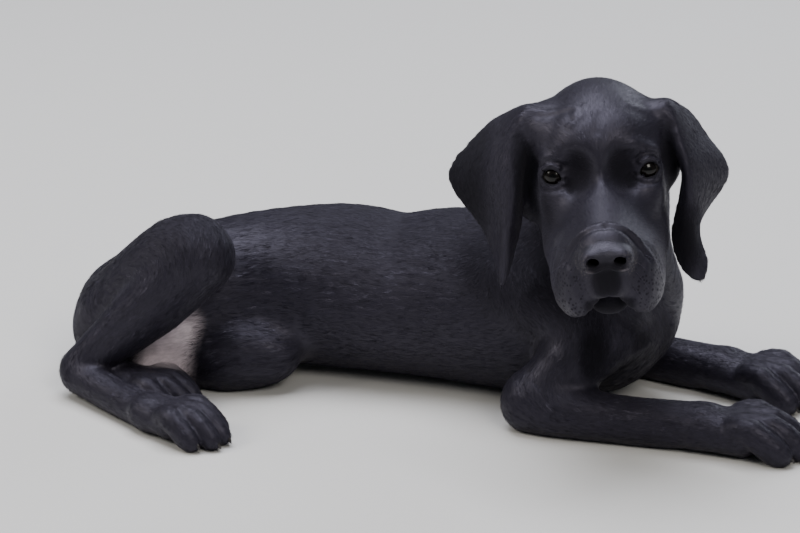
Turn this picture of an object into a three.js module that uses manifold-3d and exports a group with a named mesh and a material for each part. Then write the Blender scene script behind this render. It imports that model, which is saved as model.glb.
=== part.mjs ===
// A great dane puppy lying down, life size: front half upright on both elbows, hips rolled
// onto the left haunch, right knee raised, head turned to the right side.
// Millimetres, +Z up. +X is the puppy's forward, +Y its left. The floor is Z = 0.

import * as THREE from 'three';
import Module from 'manifold-3d';
import { mergeVertices } from 'three/addons/utils/BufferGeometryUtils.js';

const wasm = await Module();
wasm.setup();

// The gap that touching solids keep, and how far a cutting plane reaches.
const GAP = 0.3;
const REACH = 900;

// Edges shorter than this are closed up.
const SHORT_EDGE = 0.06;

// The middle of the footprint in the body's own axes, moved to the origin at the end.
const FOOTPRINT_MIDDLE = [37.2, -31.9];

// The finishes of the coat and the eyes.
const COAT = { color: 0x17171c, roughness: 0.5, metalness: 0 };
const EYE = { color: 0x140f0c, roughness: 0.1, metalness: 0 };

// Each station is [x, y, z, half width, half height, roll in degrees].
const TORSO = [
  [-184, -40, 46, 33, 34, 0], [-156, -28, 52, 46, 44, -24], [-108, -6, 57, 50, 52, -16],
  [-45, 8, 59, 57, 58, -6], [0, 10, 57, 59, 56.5, -2], [40, 10, 60, 60, 61, 0],
  [90, 4, 62, 58, 64, 0], [135, -2, 64, 50, 62, 0], [160, -6, 68, 38, 46, 0],
];
const NECK = [
  [92, 2, 86, 46, 42], [128, -8, 120, 43, 41], [146, -34, 150, 40, 40], [150, -62, 172, 40, 42],
];
const THROAT = [[158, -72, 140, 24, 22], [169, -51, 108, 27, 27], [170, -27, 76, 31, 30]];
const NAPE = [[171, -32, 158, 23, 22], [171.5, -30, 122, 25, 24], [175, -26, 93, 27, 27]];
const DEWLAP = [
  [166, -96, 120, 8, 9], [177, -84, 100, 7, 9], [180, -66, 82, 7, 9], [176, -50, 66, 8, 9],
];
const TAIL = [
  [-192, -28, 42, 15, 14], [-216, 4, 21, 11, 11], [-222, 45, 9.5, 10, 10], [-204, 85, 7.5, 8, 8],
  [-165, 110, 6, 6.5, 6.5], [-120, 118, 4, 4.5, 4.5],
];
// Rounded masses: rump, groin, haunch, belly and the side of the neck.
const MASSES = [
  { at: [-182, -38, 45], radii: [33, 32, 35], k: 14 },
  { at: [-142, -42, 28], radii: [30, 24, 26], k: 14 },
  { at: [-195, -50, 34], radii: [27, 28, 28], k: 10 },
  { at: [-98, -48, 26], radii: [40, 26, 26], k: 14 },
  { at: [112, -70, 164], radii: [15, 14, 16], k: 14 },
];

const FORELEG_RIGHT = {
  blade: [[66, -26, 94, 12, 10], [110, -43, 85, 24, 22], [150, -46, 66, 25, 24]],
  upper: [[150, -48, 62, 24, 25], [134, -62, 42, 22, 24], [116, -70, 24, 19, 21]],
  lower: [
    [110, -74, 19, 20, 21], [130, -77, 18, 20, 20], [168, -79, 15.5, 17, 17], [205, -79, 15.5, 17, 17],
    [230, -78, 17, 18.5, 15.5],
  ],
  paw: { at: [234, -78], heading: 2, size: 1.12 },
};
const FORELEG_LEFT = {
  blade: [[66, 30, 94, 12, 10], [110, 43, 85, 24, 22], [148, 36, 68, 26, 24]],
  upper: [[148, 38, 62, 25, 25], [132, 52, 42, 23, 24], [112, 58, 24, 19, 21]],
  lower: [
    [106, 60, 19, 20, 21], [126, 55, 18, 20, 20], [162, 44, 15.5, 17, 17], [200, 32, 15.5, 17, 17],
    [226, 26, 17, 18.5, 15.5],
  ],
  paw: { at: [230, 25], heading: -14, size: 1.12 },
};
const HINDLEG_RIGHT = {
  thigh: [
    [-188, -52, 50, 28, 28], [-161, -62, 77, 27, 29], [-139, -70, 99, 26, 27.5], [-125, -75, 106, 25, 26],
  ],
  shank: [
    [-120, -78, 103, 24, 25], [-150, -86, 70, 19, 23], [-184, -92, 38, 14, 17], [-202, -96, 20, 12.5, 15],
  ],
  foot: [[-202, -97, 16, 13.5, 14], [-166, -122, 12, 12.5, 12.5], [-132, -142, 11, 15, 12.5]],
  paw: { at: [-132, -142], heading: -20, size: 0.95 },
};
const HINDLEG_LEFT = {
  thigh: [[-176, -8, 34, 32, 32], [-140, -32, 28, 28, 26], [-110, -54, 22, 20, 19]],
  shank: [[-112, -56, 16, 16, 17], [-152, -62, 14, 14, 15], [-190, -66, 12.5, 12.5, 13.5]],
  foot: [[-190, -67, 11.5, 12.5, 12.5], [-178, -84, 10.5, 12, 11.5], [-166, -93, 10, 14, 11]],
  paw: { at: [-168, -92], heading: -14, size: 0.92 },
};

// A paw at size 1: four toes, [sideways place, reach forward]. The toes spread towards their
// tips, and each claw's root lies ahead of its toe's reach.
const TOES = [[-15.5, 42], [-5.5, 52], [5.5, 52], [15.5, 42]];
const TOE_SPREAD = { root: 0.8, knuckle: 1.02, tip: 1.08 };
const CLAW = { length: 9, radius: 2.2, sides: 5, droop: 40, root: 0.5, ahead: 6, height: 7.5 };

// The head's axes: muzzle forward, left and up, through the middle between the eyes.
const HEAD = { at: [162, -105, 196], turn: 12.5, pitch: 5, roll: 5.4 };
const EYEBALL = { at: [-8.6, 29.4, -0.6], radius: 9.3, outward: 14, segments: 16, rings: 10 };
const LID = {
  radius: 10.6, halfWidth: 7.0, halfHeight: 5.3, taper: 0.12, thickness: 1.5, steps: 16, sides: 5,
  opening: 0.86, cutDepth: 16,
};

// Both ears as skin between a front margin, a crease and a rear margin, from root to tip,
// in the head's axes.
const EAR_RIGHT = {
  front: [[-22, -31, 24], [-20, -40, 28], [-25, -46, 13], [-27, -51, -7], [-27, -56, -36], [-19, -67, -68]],
  crease: [
    [-32, -30, 35], [-27, -45.5, 39.5], [-17, -53, 18], [-13, -58, -3], [-11, -63, -33], [-15, -70, -72],
  ],
  rear: [
    [-62, -32, 20], [-57, -60, 29.5], [-57, -83, 14], [-60, -99, -10], [-46, -79, -43.5], [-21, -71, -67],
  ],
};
const EAR_LEFT = {
  front: [
    [-22, 31, 23], [-20, 41, 27], [-26, 47, 11], [-27, 54, -12], [-26, 45, -50], [-19, 48.5, -69],
    [-14, 55.5, -77],
  ],
  crease: [
    [-32, 30, 32], [-26, 46, 36.5], [-17, 53, 12], [-14, 57, -10], [-13, 54.5, -44], [-13, 55.5, -70],
    [-12.5, 58, -78],
  ],
  rear: [
    [-62, 32, 18], [-56, 56, 25], [-54, 71, 5], [-56, 82, -20], [-33, 61, -46], [-20, 63.5, -70],
    [-14, 61, -77],
  ],
};
const EAR = { thickness: 3.4, rootThickness: 7, rootReach: 0.12, rows: 12, columns: 7, clearance: 0.5 };

// Grid steps of the solids' faces. The head's grow from the face outwards.
const CELL = { face: 5.1, nape: 11, limb: 11.5, paw: 7.6, torso: 17, neck: 15, tail: 8.5 };
const FACE = { at: [25, 0, -28], spread: 14 };
const HEAD_STEPS = 22;

// How the faces are laid on the surface: the step that its slope is measured over, the least
// slope squared that is believed, how far a corner may move in cells, and the share of a cell
// given to a corner that is turned from inside to outside.
const SLOPE_STEP = 0.4;
const LEAST_SLOPE = 0.2;
const LEASH = 0.45;
const TURNED = 0.05;

// How far from its stations a form still counts, and the head round its own middle.
const FORM_MARGIN = 30;
const HEAD_SPHERE = 175;
const HEAD_BLEND = 14;

const radians = THREE.MathUtils.degToRad;
const vec = (p) => new THREE.Vector3(p[0], p[1], p[2]);

// Smooth union of two distances, rounded over a width k, and its opposite for a dent.
function blend(a, b, k) {
  const h = Math.max(k - Math.abs(a - b), 0) / k;
  return Math.min(a, b) - h * h * k * 0.25;
}
const dent = (a, b, k) => -blend(-a, b, k);

function ellipsoidDistance(x, y, z, rx, ry, rz) {
  const k0 = Math.hypot(x / rx, y / ry, z / rz);
  const k1 = Math.hypot(x / (rx * rx), y / (ry * ry), z / (rz * rz));
  return (k0 * (k0 - 1)) / Math.max(k1, 1e-9);
}

// A tapering length of elliptic section between two stations. Its end caps are round.
class Length {
  constructor(a, b, up) {
    this.a = vec(a);
    this.w = [a[3], b[3]];
    this.h = [a[4], b[4]];
    this.f = vec(b).sub(this.a);
    this.length = this.f.length();
    this.f.divideScalar(this.length);
    this.u = vec(up).addScaledVector(this.f, -vec(up).dot(this.f)).normalize();
    this.u.applyAxisAngle(this.f, radians(((a[5] ?? 0) + (b[5] ?? 0)) / 2));
    this.s = new THREE.Vector3().crossVectors(this.f, this.u);
  }
  distance(x, y, z) {
    const { a, f, u, s, w, h } = this;
    const qx = x - a.x;
    const qy = y - a.y;
    const qz = z - a.z;
    const along = qx * f.x + qy * f.y + qz * f.z;
    const t = Math.min(Math.max(along / this.length, 0), 1);
    const wide = w[0] + (w[1] - w[0]) * t;
    const high = h[0] + (h[1] - h[0]) * t;
    return ellipsoidDistance(
      along - t * this.length, qx * s.x + qy * s.y + qz * s.z, qx * u.x + qy * u.y + qz * u.z,
      Math.min(wide, high), wide, high,
    );
  }
}

// A tube through stations, smoothed with a Catmull-Rom curve at the given steps a station.
class Tube {
  constructor(stations, k, steps = 2, up = [0, 0, 1]) {
    this.k = k;
    const spline = (pick) => new THREE.CatmullRomCurve3(stations.map(pick), false, 'catmullrom', 0.5);
    const place = spline((s) => vec(s));
    const size = spline((s) => new THREE.Vector3(s[3], s[4], s[5] ?? 0));
    const count = (stations.length - 1) * steps;
    const points = Array.from({ length: count + 1 }, (_, i) => {
      const p = place.getPoint(i / count);
      const q = size.getPoint(i / count);
      return [p.x, p.y, p.z, q.x, q.y, q.z];
    });
    this.lengths = points.slice(1).map((p, i) => new Length(points[i], p, up));
    this.box = new THREE.Box3();
    for (const p of points) {
      const r = Math.max(p[3], p[4]) + FORM_MARGIN;
      this.box.expandByPoint(vec(p).addScalar(r)).expandByPoint(vec(p).addScalar(-r));
    }
  }
  distance(x, y, z) {
    let d = Infinity;
    for (const length of this.lengths) d = Math.min(d, length.distance(x, y, z));
    return d;
  }
}

class Ball {
  constructor(at, radii, k) {
    Object.assign(this, { at, radii, k });
    const r = vec(radii).addScalar(FORM_MARGIN);
    this.box = new THREE.Box3(vec(at).sub(r), vec(at).add(r));
  }
  distance(x, y, z) {
    return ellipsoidDistance(x - this.at[0], y - this.at[1], z - this.at[2], ...this.radii);
  }
}

// The head's axes as columns, with the roll about the muzzle.
function headAxes() {
  const turn = radians(HEAD.turn);
  const pitch = radians(HEAD.pitch);
  const forward = new THREE.Vector3(
    Math.sin(turn) * Math.cos(pitch), -Math.cos(turn) * Math.cos(pitch), Math.sin(pitch),
  );
  const left = new THREE.Vector3(0, 0, 1).cross(forward).normalize();
  left.applyAxisAngle(forward, radians(HEAD.roll));
  const up = new THREE.Vector3().crossVectors(forward, left);
  return new THREE.Matrix4().makeBasis(forward, left, up).setPosition(...HEAD.at);
}
const HEAD_AXES = headAxes();
const HEAD_INVERSE = HEAD_AXES.clone().invert();

// The head's flesh in its own axes, each form with the width that it blends over. It is the
// same on both sides, but for what the loose scalp adds at the right.
const CRANIUM = [
  new Ball([-42, 0, 8], [54, 41, 46], 1),
  new Ball([-40, 16, 18], [36, 21, 20], 14),
  new Ball([-17, 13, 15], [20, 18, 20], 14),
  new Ball([-34, 32, 22], [20, 14, 15.5], 11),
  new Ball([-42, 43, 2], [18, 12, 24], 12),
];
const SCALP_RIGHT = new Ball([-34, -33, 25], [20, 14, 15.5], 11);
const CHEEK = [
  new Tube([[-38, 33, -8, 9, 10], [-3, 31, -13, 8, 9]], 12, 1),
  new Ball([-20, 24, -36], [32, 18, 32], 14),
];
const BROW = new Tube([[-10, 14, 16, 8, 5], [-9, 34, 12, 8, 4]], 10, 1);
const MUZZLE = [
  new Tube([[0, 0, -24, 27, 21], [58, 0, -38, 20, 16]], 14, 1),
  new Tube([[-6, 0, 4, 9, 8], [8, 0, -13, 11, 8]], 10, 1),
  new Tube([[6, 0, -12, 13, 9], [58, 0, -27, 12, 7]], 8, 1),
  new Ball([22, 18, -42], [34, 14, 14], 10),
];
const FLEWS = new Tube([
  [60, 4, -55.5, 11, 11.5], [58, 11.5, -56.5, 9.5, 12.7], [53, 21, -60.5, 9.8, 19.5],
  [38, 25.5, -61.5, 11, 20.5], [16, 28, -59, 10, 19], [-8, 29, -52, 10, 16],
], 10, 1);
const JAW = [
  new Tube([[-40, 0, -56, 27, 20], [0, 0, -62, 22, 15], [44, 0, -69, 11, 9]], 3, 1),
  new Ball([44, 0, -73], [12, 13, 9.2], 4),
];
const NOSE = [
  new Tube([
    [51, 22.5, -46, 1.8, 1.8], [53.5, 22, -35, 2, 2], [56.5, 14.5, -25, 2.2, 2.2],
    [57.5, 0, -21.5, 2.2, 2.2],
  ], 5, 1),
  new Ball([65, 0, -37.5], [13, 17.5, 10.5], 1.5),
  new Ball([70.5, 10, -39.5], [8, 7.8, 8], 4),
];
const HEAD_FORMS = [...CRANIUM, ...CHEEK, BROW, ...MUZZLE, FLEWS, ...JAW, ...NOSE];
// The dip between eye and bridge, and the swell round the eyeball.
const HOLLOW = new Ball([11, 15.5, 4], [10, 8, 10], 11);
const SOCKET_SWELL = { radius: 11, k: 4.5 };

function headDistance(x, y, z) {
  const side = Math.abs(y);
  let d = Infinity;
  for (const form of HEAD_FORMS) d = blend(d === Infinity ? 1e3 : d, form.distance(x, side, z), form.k);
  d = blend(d, SCALP_RIGHT.distance(x, y, z), SCALP_RIGHT.k);
  d = dent(d, HOLLOW.distance(x, side, z), HOLLOW.k);
  const [ex, ey, ez] = EYEBALL.at;
  return blend(d, Math.hypot(x - ex, side - ey, z - ez) - SOCKET_SWELL.radius, SOCKET_SWELL.k);
}

// A paw's pad and toes ahead of the wrist, on the floor, and the claws' places.
function pawFrame({ at, heading, size }) {
  const turn = new THREE.Matrix4().makeRotationZ(radians(heading));
  const grown = turn.scale(new THREE.Vector3(size, size, size));
  return new THREE.Matrix4().makeTranslation(at[0], at[1], 0).multiply(grown);
}
function pawForms(paw) {
  const frame = pawFrame(paw);
  const station = (x, y, z, w, h) => {
    const p = new THREE.Vector3(x, y, z).applyMatrix4(frame);
    return [p.x, p.y, p.z, w * paw.size, h * paw.size];
  };
  const pad = new Tube([station(-6, 0, 14, 17, 14), station(20, 0, 12.5, 21, 14)], 4, 1);
  const toes = TOES.map(([y, reach]) => new Tube([
    station(16, y * TOE_SPREAD.root, 18, 8, 9), station(reach - 16, y * TOE_SPREAD.knuckle, 19, 8.2, 9.5),
    station(reach - 2, y * TOE_SPREAD.tip, 9.5, 7.8, 9.5),
    station(reach + 3, y * TOE_SPREAD.tip, 6.5, 6.5, 7.5),
  ], 2.2));
  return [pad, ...toes];
}

const forelegForms = (leg) => [
  new Tube(leg.blade, 16), new Tube(leg.upper, 12), new Tube(leg.lower, 8), ...pawForms(leg.paw),
];
const hindlegForms = (leg, k) => [
  new Tube(leg.thigh, k), new Tube(leg.shank, 6), new Tube(leg.foot, 5), ...pawForms(leg.paw),
];

const BODY_FORMS = [
  new Tube(TORSO, 12, 3),
  new Tube(NECK, 22, 3, [1, 0, 0]),
  new Tube(THROAT, 16, 3, [1, 0, 0]),
  new Tube(NAPE, 14, 3, [1, 0, 0]),
  new Tube(DEWLAP, 10, 3, [1, 0, 0]),
  ...forelegForms(FORELEG_RIGHT),
  ...forelegForms(FORELEG_LEFT),
  ...MASSES.map(({ at, radii, k }) => new Ball(at, radii, k)),
  ...hindlegForms(HINDLEG_RIGHT, 6),
  ...hindlegForms(HINDLEG_LEFT, 18),
  new Tube(TAIL, 10, 3),
];

const scratch = new THREE.Vector3();

// Distance to the skin of the whole animal, negative inside.
function bodyDistance(x, y, z) {
  let d = 1e3;
  scratch.set(x, y, z);
  for (const form of BODY_FORMS) {
    if (form.box.containsPoint(scratch)) d = blend(d, form.distance(x, y, z), form.k);
  }
  if (Math.hypot(x - HEAD.at[0], y - HEAD.at[1], z - HEAD.at[2]) < HEAD_SPHERE) {
    scratch.applyMatrix4(HEAD_INVERSE);
    d = blend(d, headDistance(scratch.x, scratch.y, scratch.z), HEAD_BLEND);
  }
  return d;
}

// A grid cell's corners and edges.
const CORNERS = [0, 1, 2, 3, 4, 5, 6, 7].map((c) => [c & 1, (c >> 1) & 1, (c >> 2) & 1]);
const EDGES = [
  [0, 1], [2, 3], [4, 5], [6, 7], [0, 2], [1, 3], [4, 6], [5, 7], [0, 4], [1, 5], [2, 6], [3, 7],
];

// Whether the corners in a set hang together along the cell's edges.
function joined(set) {
  if (set.length < 2) return true;
  const seen = new Set([set[0]]);
  for (let pass = 0; pass < set.length; pass++) {
    for (const [a, b] of EDGES) {
      if (!set.includes(a) || !set.includes(b)) continue;
      if (seen.has(a) || seen.has(b)) seen.add(a).add(b);
    }
  }
  return seen.size === set.length;
}
// For each pattern of inside corners: true where one sheet of surface crosses the cell.
const ONE_SHEET = Array.from({ length: 256 }, (_, mask) => {
  const corners = CORNERS.map((_, c) => c);
  const inside = corners.filter((c) => (mask >> c) & 1);
  const outside = corners.filter((c) => !((mask >> c) & 1));
  return joined(inside) && joined(outside);
});

// Turns the faintest corner of each cell that two sheets cross, until none is left.
function untangle(value, n, index, cell) {
  for (let pass = 0; pass < 12; pass++) {
    let turned = 0;
    for (let i = 0; i < n[0]; i++) {
      for (let j = 0; j < n[1]; j++) {
        for (let k = 0; k < n[2]; k++) {
          const at = CORNERS.map(([a, b, c]) => index(i + a, j + b, k + c));
          const mask = at.reduce((m, q, c) => m | ((value[q] < 0 ? 1 : 0) << c), 0);
          if (ONE_SHEET[mask]) continue;
          const faint = at.reduce((a, b) => (Math.abs(value[b]) < Math.abs(value[a]) ? b : a));
          value[faint] = value[faint] < 0 ? cell * TURNED : -cell * TURNED;
          turned += 1;
        }
      }
    }
    if (turned === 0) return;
  }
}

// An even grid over a box, two steps wider all round.
function evenGrid(lo, hi, cell) {
  const count = lo.map((v, i) => Math.ceil((hi[i] - v) / cell) + 4);
  return { count, place: (q) => q.map((v, i) => lo[i] + (v - 2) * cell) };
}

// A grid in the head's axes whose steps grow from the face to the nape, with the given
// number of steps each way from the middle of the face.
function headGrid(half) {
  const middle = vec(FACE.at);
  const place = (q) => {
    const v = vec(q).addScalar(-half);
    const far = v.lengthSq() / FACE.spread ** 2;
    const step = CELL.face + ((CELL.nape - CELL.face) * far) / (1 + far);
    return v.multiplyScalar(step).add(middle).applyMatrix4(HEAD_AXES).toArray();
  };
  return { count: [2 * half, 2 * half, 2 * half], place };
}

// The surface where a distance is zero, inside a box, as one net of quads: one corner for
// each grid cell that the surface crosses, moved onto the surface, and one quad for each
// grid edge. The box's own faces close it.
function surfaceNet(distance, { lo, hi, cell, grid }) {
  const { count: n, place } = grid ?? evenGrid(lo, hi, cell);
  const index = (i, j, k) => (i * (n[1] + 1) + j) * (n[2] + 1) + k;
  const value = new Float64Array((n[0] + 1) * (n[1] + 1) * (n[2] + 1)).fill(REACH);
  for (let i = 1; i < n[0]; i++) {
    for (let j = 1; j < n[1]; j++) {
      for (let k = 1; k < n[2]; k++) value[index(i, j, k)] = distance(...place([i, j, k]));
    }
  }
  untangle(value, n, index, cell);
  const ids = new Map();
  const points = [];
  for (let i = 0; i < n[0]; i++) {
    for (let j = 0; j < n[1]; j++) {
      for (let k = 0; k < n[2]; k++) {
        const v = CORNERS.map(([a, b, c]) => value[index(i + a, j + b, k + c)]);
        const crossed = EDGES.filter(([a, b]) => v[a] < 0 !== v[b] < 0);
        if (crossed.length === 0) continue;
        const sum = [0, 0, 0];
        for (const [a, b] of crossed) {
          const t = v[a] / (v[a] - v[b]);
          for (let m = 0; m < 3; m++) sum[m] += CORNERS[a][m] + t * (CORNERS[b][m] - CORNERS[a][m]);
        }
        ids.set(index(i, j, k), points.length);
        const inner = [i, j, k].map((q, m) => q + sum[m] / crossed.length);
        points.push(onSurface(distance, place(inner), cell));
      }
    }
  }
  const triangles = [];
  const steps = [index(1, 0, 0) - index(0, 0, 0), index(0, 1, 0) - index(0, 0, 0), 1];
  for (let i = 0; i < n[0]; i++) {
    for (let j = 0; j < n[1]; j++) {
      for (let k = 0; k < n[2]; k++) {
        const here = index(i, j, k);
        for (let axis = 0; axis < 3; axis++) {
          if ([i, j, k].some((q, m) => m !== axis && q === 0)) continue;
          const next = here + steps[axis];
          const inside = value[here] < 0;
          if (inside === value[next] < 0) continue;
          const du = steps[(axis + 1) % 3];
          const dv = steps[(axis + 2) % 3];
          const quad = [here - du - dv, here - dv, here, here - du].map((q) => ids.get(q));
          if (!inside) quad.reverse();
          const [a, b, c, d] = quad;
          const split = distanceSquared(points[a], points[c]) <= distanceSquared(points[b], points[d]);
          triangles.push(...(split ? [a, b, c, a, c, d] : [a, b, d, b, c, d]));
        }
      }
    }
  }
  return { points, triangles };
}
const distanceSquared = (p, q) => (p[0] - q[0]) ** 2 + (p[1] - q[1]) ** 2 + (p[2] - q[2]) ** 2;

// Two Newton steps along the slope, kept on a leash from where they start.
function onSurface(distance, start, cell) {
  let p = start;
  const e = SLOPE_STEP;
  for (let step = 0; step < 2; step++) {
    const d = distance(...p);
    const g = [0, 1, 2].map((m) => {
      const up = p.map((v, i) => (i === m ? v + e : v));
      const down = p.map((v, i) => (i === m ? v - e : v));
      return (distance(...up) - distance(...down)) / (2 * e);
    });
    const steep = Math.max(g[0] ** 2 + g[1] ** 2 + g[2] ** 2, LEAST_SLOPE);
    p = p.map((v, i) => v - (d * g[i]) / steep);
  }
  const leash = cell * LEASH;
  return p.map((v, i) => THREE.MathUtils.clamp(v, start[i] - leash, start[i] + leash));
}

// Solids for joining and cutting.
function solid(geometry) {
  const bare = geometry.clone();
  bare.deleteAttribute('normal');
  bare.deleteAttribute('uv');
  const merged = mergeVertices(bare, 1e-4);
  return new wasm.Manifold(new wasm.Mesh({
    numProp: 3,
    vertProperties: Float32Array.from(merged.attributes.position.array),
    triVerts: Uint32Array.from(merged.index.array),
  }));
}
function netSolid({ points, triangles }) {
  const geometry = new THREE.BufferGeometry();
  geometry.setAttribute('position', new THREE.Float32BufferAttribute(points.flat(), 3));
  geometry.setIndex(triangles);
  return solid(geometry);
}
// The half space on the side that the normal points to, grown outwards by a margin.
function halfSpace({ at, normal }, grow = 0) {
  const n = vec(normal).normalize();
  const box = new THREE.BoxGeometry(2 * REACH, 2 * REACH, REACH).translate(0, 0, REACH / 2 - grow);
  box.applyQuaternion(new THREE.Quaternion().setFromUnitVectors(new THREE.Vector3(0, 0, 1), n));
  return solid(box.translate(...at));
}
// A node's share of space: its box and the inner side of its planes, grown by a margin.
function region({ lo, hi, planes }, grow = 0) {
  const size = hi.map((v, i) => v - lo[i] + 2 * grow);
  const middle = hi.map((v, i) => (v + lo[i]) / 2);
  const box = solid(new THREE.BoxGeometry(...size).translate(...middle));
  return planes.reduce((room, cut) => room.intersect(halfSpace(cut, grow)), box);
}
function largest(manifold) {
  return manifold.decompose().reduce((a, b) => (b.volume() > a.volume() ? b : a));
}
function geometryOf(manifold) {
  const { vertProperties, triVerts } = manifold.getMesh();
  const geometry = new THREE.BufferGeometry();
  geometry.setAttribute('position', new THREE.BufferAttribute(vertProperties, 3));
  geometry.setIndex(closeShortEdges(vertProperties, Array.from(triVerts)));
  return mergeVertices(geometry.toNonIndexed(), 1e-5);
}

// Closes each edge shorter than the limit onto its first corner, where that leaves the
// surface whole: its two ends then share just the two corners beside it.
function closeShortEdges(position, triangles) {
  const at = (v) => new THREE.Vector3().fromArray(position, 3 * v);
  let rest = triangles;
  for (let pass = 0; pass < 8; pass++) {
    const around = new Map();
    for (let t = 0; t < rest.length; t++) {
      const first = t - (t % 3);
      if (!around.has(rest[t])) around.set(rest[t], new Set());
      for (let c = 0; c < 3; c++) around.get(rest[t]).add(rest[first + c]);
    }
    const onto = new Map();
    const touched = new Set();
    for (const [a, near] of around) {
      for (const b of near) {
        if (b <= a || touched.has(a) || touched.has(b) || at(a).distanceTo(at(b)) > SHORT_EDGE) continue;
        const shared = [...near].filter((v) => v !== a && v !== b && around.get(b).has(v));
        if (shared.length !== 2) continue;
        onto.set(b, a);
        for (const v of [...near, ...around.get(b)]) touched.add(v);
      }
    }
    if (onto.size === 0) break;
    const moved = rest.map((v) => onto.get(v) ?? v);
    rest = [];
    for (let t = 0; t < moved.length; t += 3) {
      const [a, b, c] = moved.slice(t, t + 3);
      if (a !== b && b !== c && c !== a) rest.push(a, b, c);
    }
  }
  return rest;
}

// Claws: bent-down cones at the toe tips, sunk into them.
function claws(paw) {
  const frame = pawFrame(paw);
  return TOES.map(([y, reach]) => {
    const cone = new THREE.ConeGeometry(CLAW.radius, CLAW.length, CLAW.sides, 1);
    cone.translate(0, CLAW.length * CLAW.root, 0).rotateZ(-Math.PI / 2).rotateY(radians(CLAW.droop));
    cone.translate(reach + CLAW.ahead, y * TOE_SPREAD.tip, CLAW.height);
    return solid(cone.applyMatrix4(frame));
  }).reduce((a, b) => a.add(b));
}

// The eye's own axes: x along its gaze, y to the puppy's left, z up.
function eyeFrame(side) {
  const [x, y, z] = EYEBALL.at;
  const turn = new THREE.Matrix4().makeRotationZ(radians(EYEBALL.outward * side));
  return new THREE.Matrix4().makeTranslation(x, y * side, z).multiply(turn);
}
function eyeball(side, radius) {
  const ball = new THREE.SphereGeometry(radius, EYEBALL.segments, EYEBALL.rings);
  return ball.applyMatrix4(eyeFrame(side)).applyMatrix4(HEAD_AXES);
}
// The almond between the lids, as points at a distance from the eye's middle.
function almond(t, radius, scale) {
  const angle = t * 2 * Math.PI;
  const y = Math.cos(angle) * LID.halfWidth * scale;
  const z = Math.sin(angle) * (1 - LID.taper * Math.abs(Math.cos(angle))) * LID.halfHeight * scale;
  return new THREE.Vector3(Math.sqrt(radius ** 2 - y * y - z * z), y, z);
}
class AlmondCurve extends THREE.Curve {
  getPoint(t) {
    return almond(t, LID.radius, 1);
  }
}
// A closed ring of round section along the almond's edge.
function lidRim(side) {
  const rim = new THREE.TubeGeometry(new AlmondCurve(), LID.steps, LID.thickness, LID.sides, true);
  return solid(rim.applyMatrix4(eyeFrame(side)).applyMatrix4(HEAD_AXES));
}
// The opening between the lids, from inside the ball out past the lids.
function lidOpening(side) {
  const shape = new THREE.Shape(Array.from({ length: LID.steps }, (_, i) => {
    const p = almond(i / LID.steps, LID.radius, LID.opening);
    return new THREE.Vector2(p.y, p.z);
  }));
  const prism = new THREE.ExtrudeGeometry(shape, { depth: LID.cutDepth, bevelEnabled: false });
  const turned = new THREE.Matrix4().makeBasis(
    new THREE.Vector3(0, 1, 0), new THREE.Vector3(0, 0, 1), new THREE.Vector3(1, 0, 0),
  );
  return solid(prism.applyMatrix4(turned).applyMatrix4(eyeFrame(side)).applyMatrix4(HEAD_AXES));
}

// A groove or hole cut along a path in the head's axes.
function groove(points, radius, sides = 5, steps = 3) {
  const curve = new THREE.CatmullRomCurve3(points.map(vec));
  const shape = new THREE.Shape(Array.from({ length: sides }, (_, i) => {
    const angle = (i / sides) * 2 * Math.PI;
    return new THREE.Vector2(Math.cos(angle) * radius, Math.sin(angle) * radius);
  }));
  const count = steps * (points.length - 1);
  const sweep = new THREE.ExtrudeGeometry(shape, { steps: count, extrudePath: curve });
  return solid(sweep.applyMatrix4(HEAD_AXES));
}
const mirrored = (points, side) => points.map(([x, y, z]) => [x, y * side, z]);
const MOUTH_LINE = [
  [64, 4, -66.5], [59, 12, -70], [54, 18, -78], [38, 25.5, -82.5], [12, 31, -78], [-6, 37, -66],
];
const PHILTRUM = [[82, 0, -43], [75, 0, -51], [69, 0, -62], [62, 0, -67]];
const NOSTRIL = [[82, 9.8, -40], [66, 8, -38.5]];
const NOSTRIL_WING = [[80, 12, -41], [73, 18.7, -44]];
const GROOVE = { mouth: 1.3, philtrum: 0.9, nostril: 3.6, wing: 1.2 };

function headGrooves() {
  const cuts = [groove(PHILTRUM, GROOVE.philtrum)];
  for (const side of [1, -1]) {
    cuts.push(groove(mirrored(MOUTH_LINE, side), GROOVE.mouth));
    cuts.push(groove(mirrored(NOSTRIL, side), GROOVE.nostril, 8, 2));
    cuts.push(groove(mirrored(NOSTRIL_WING, side), GROOVE.wing, 5, 2));
  }
  return cuts.reduce((a, b) => a.add(b));
}

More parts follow.
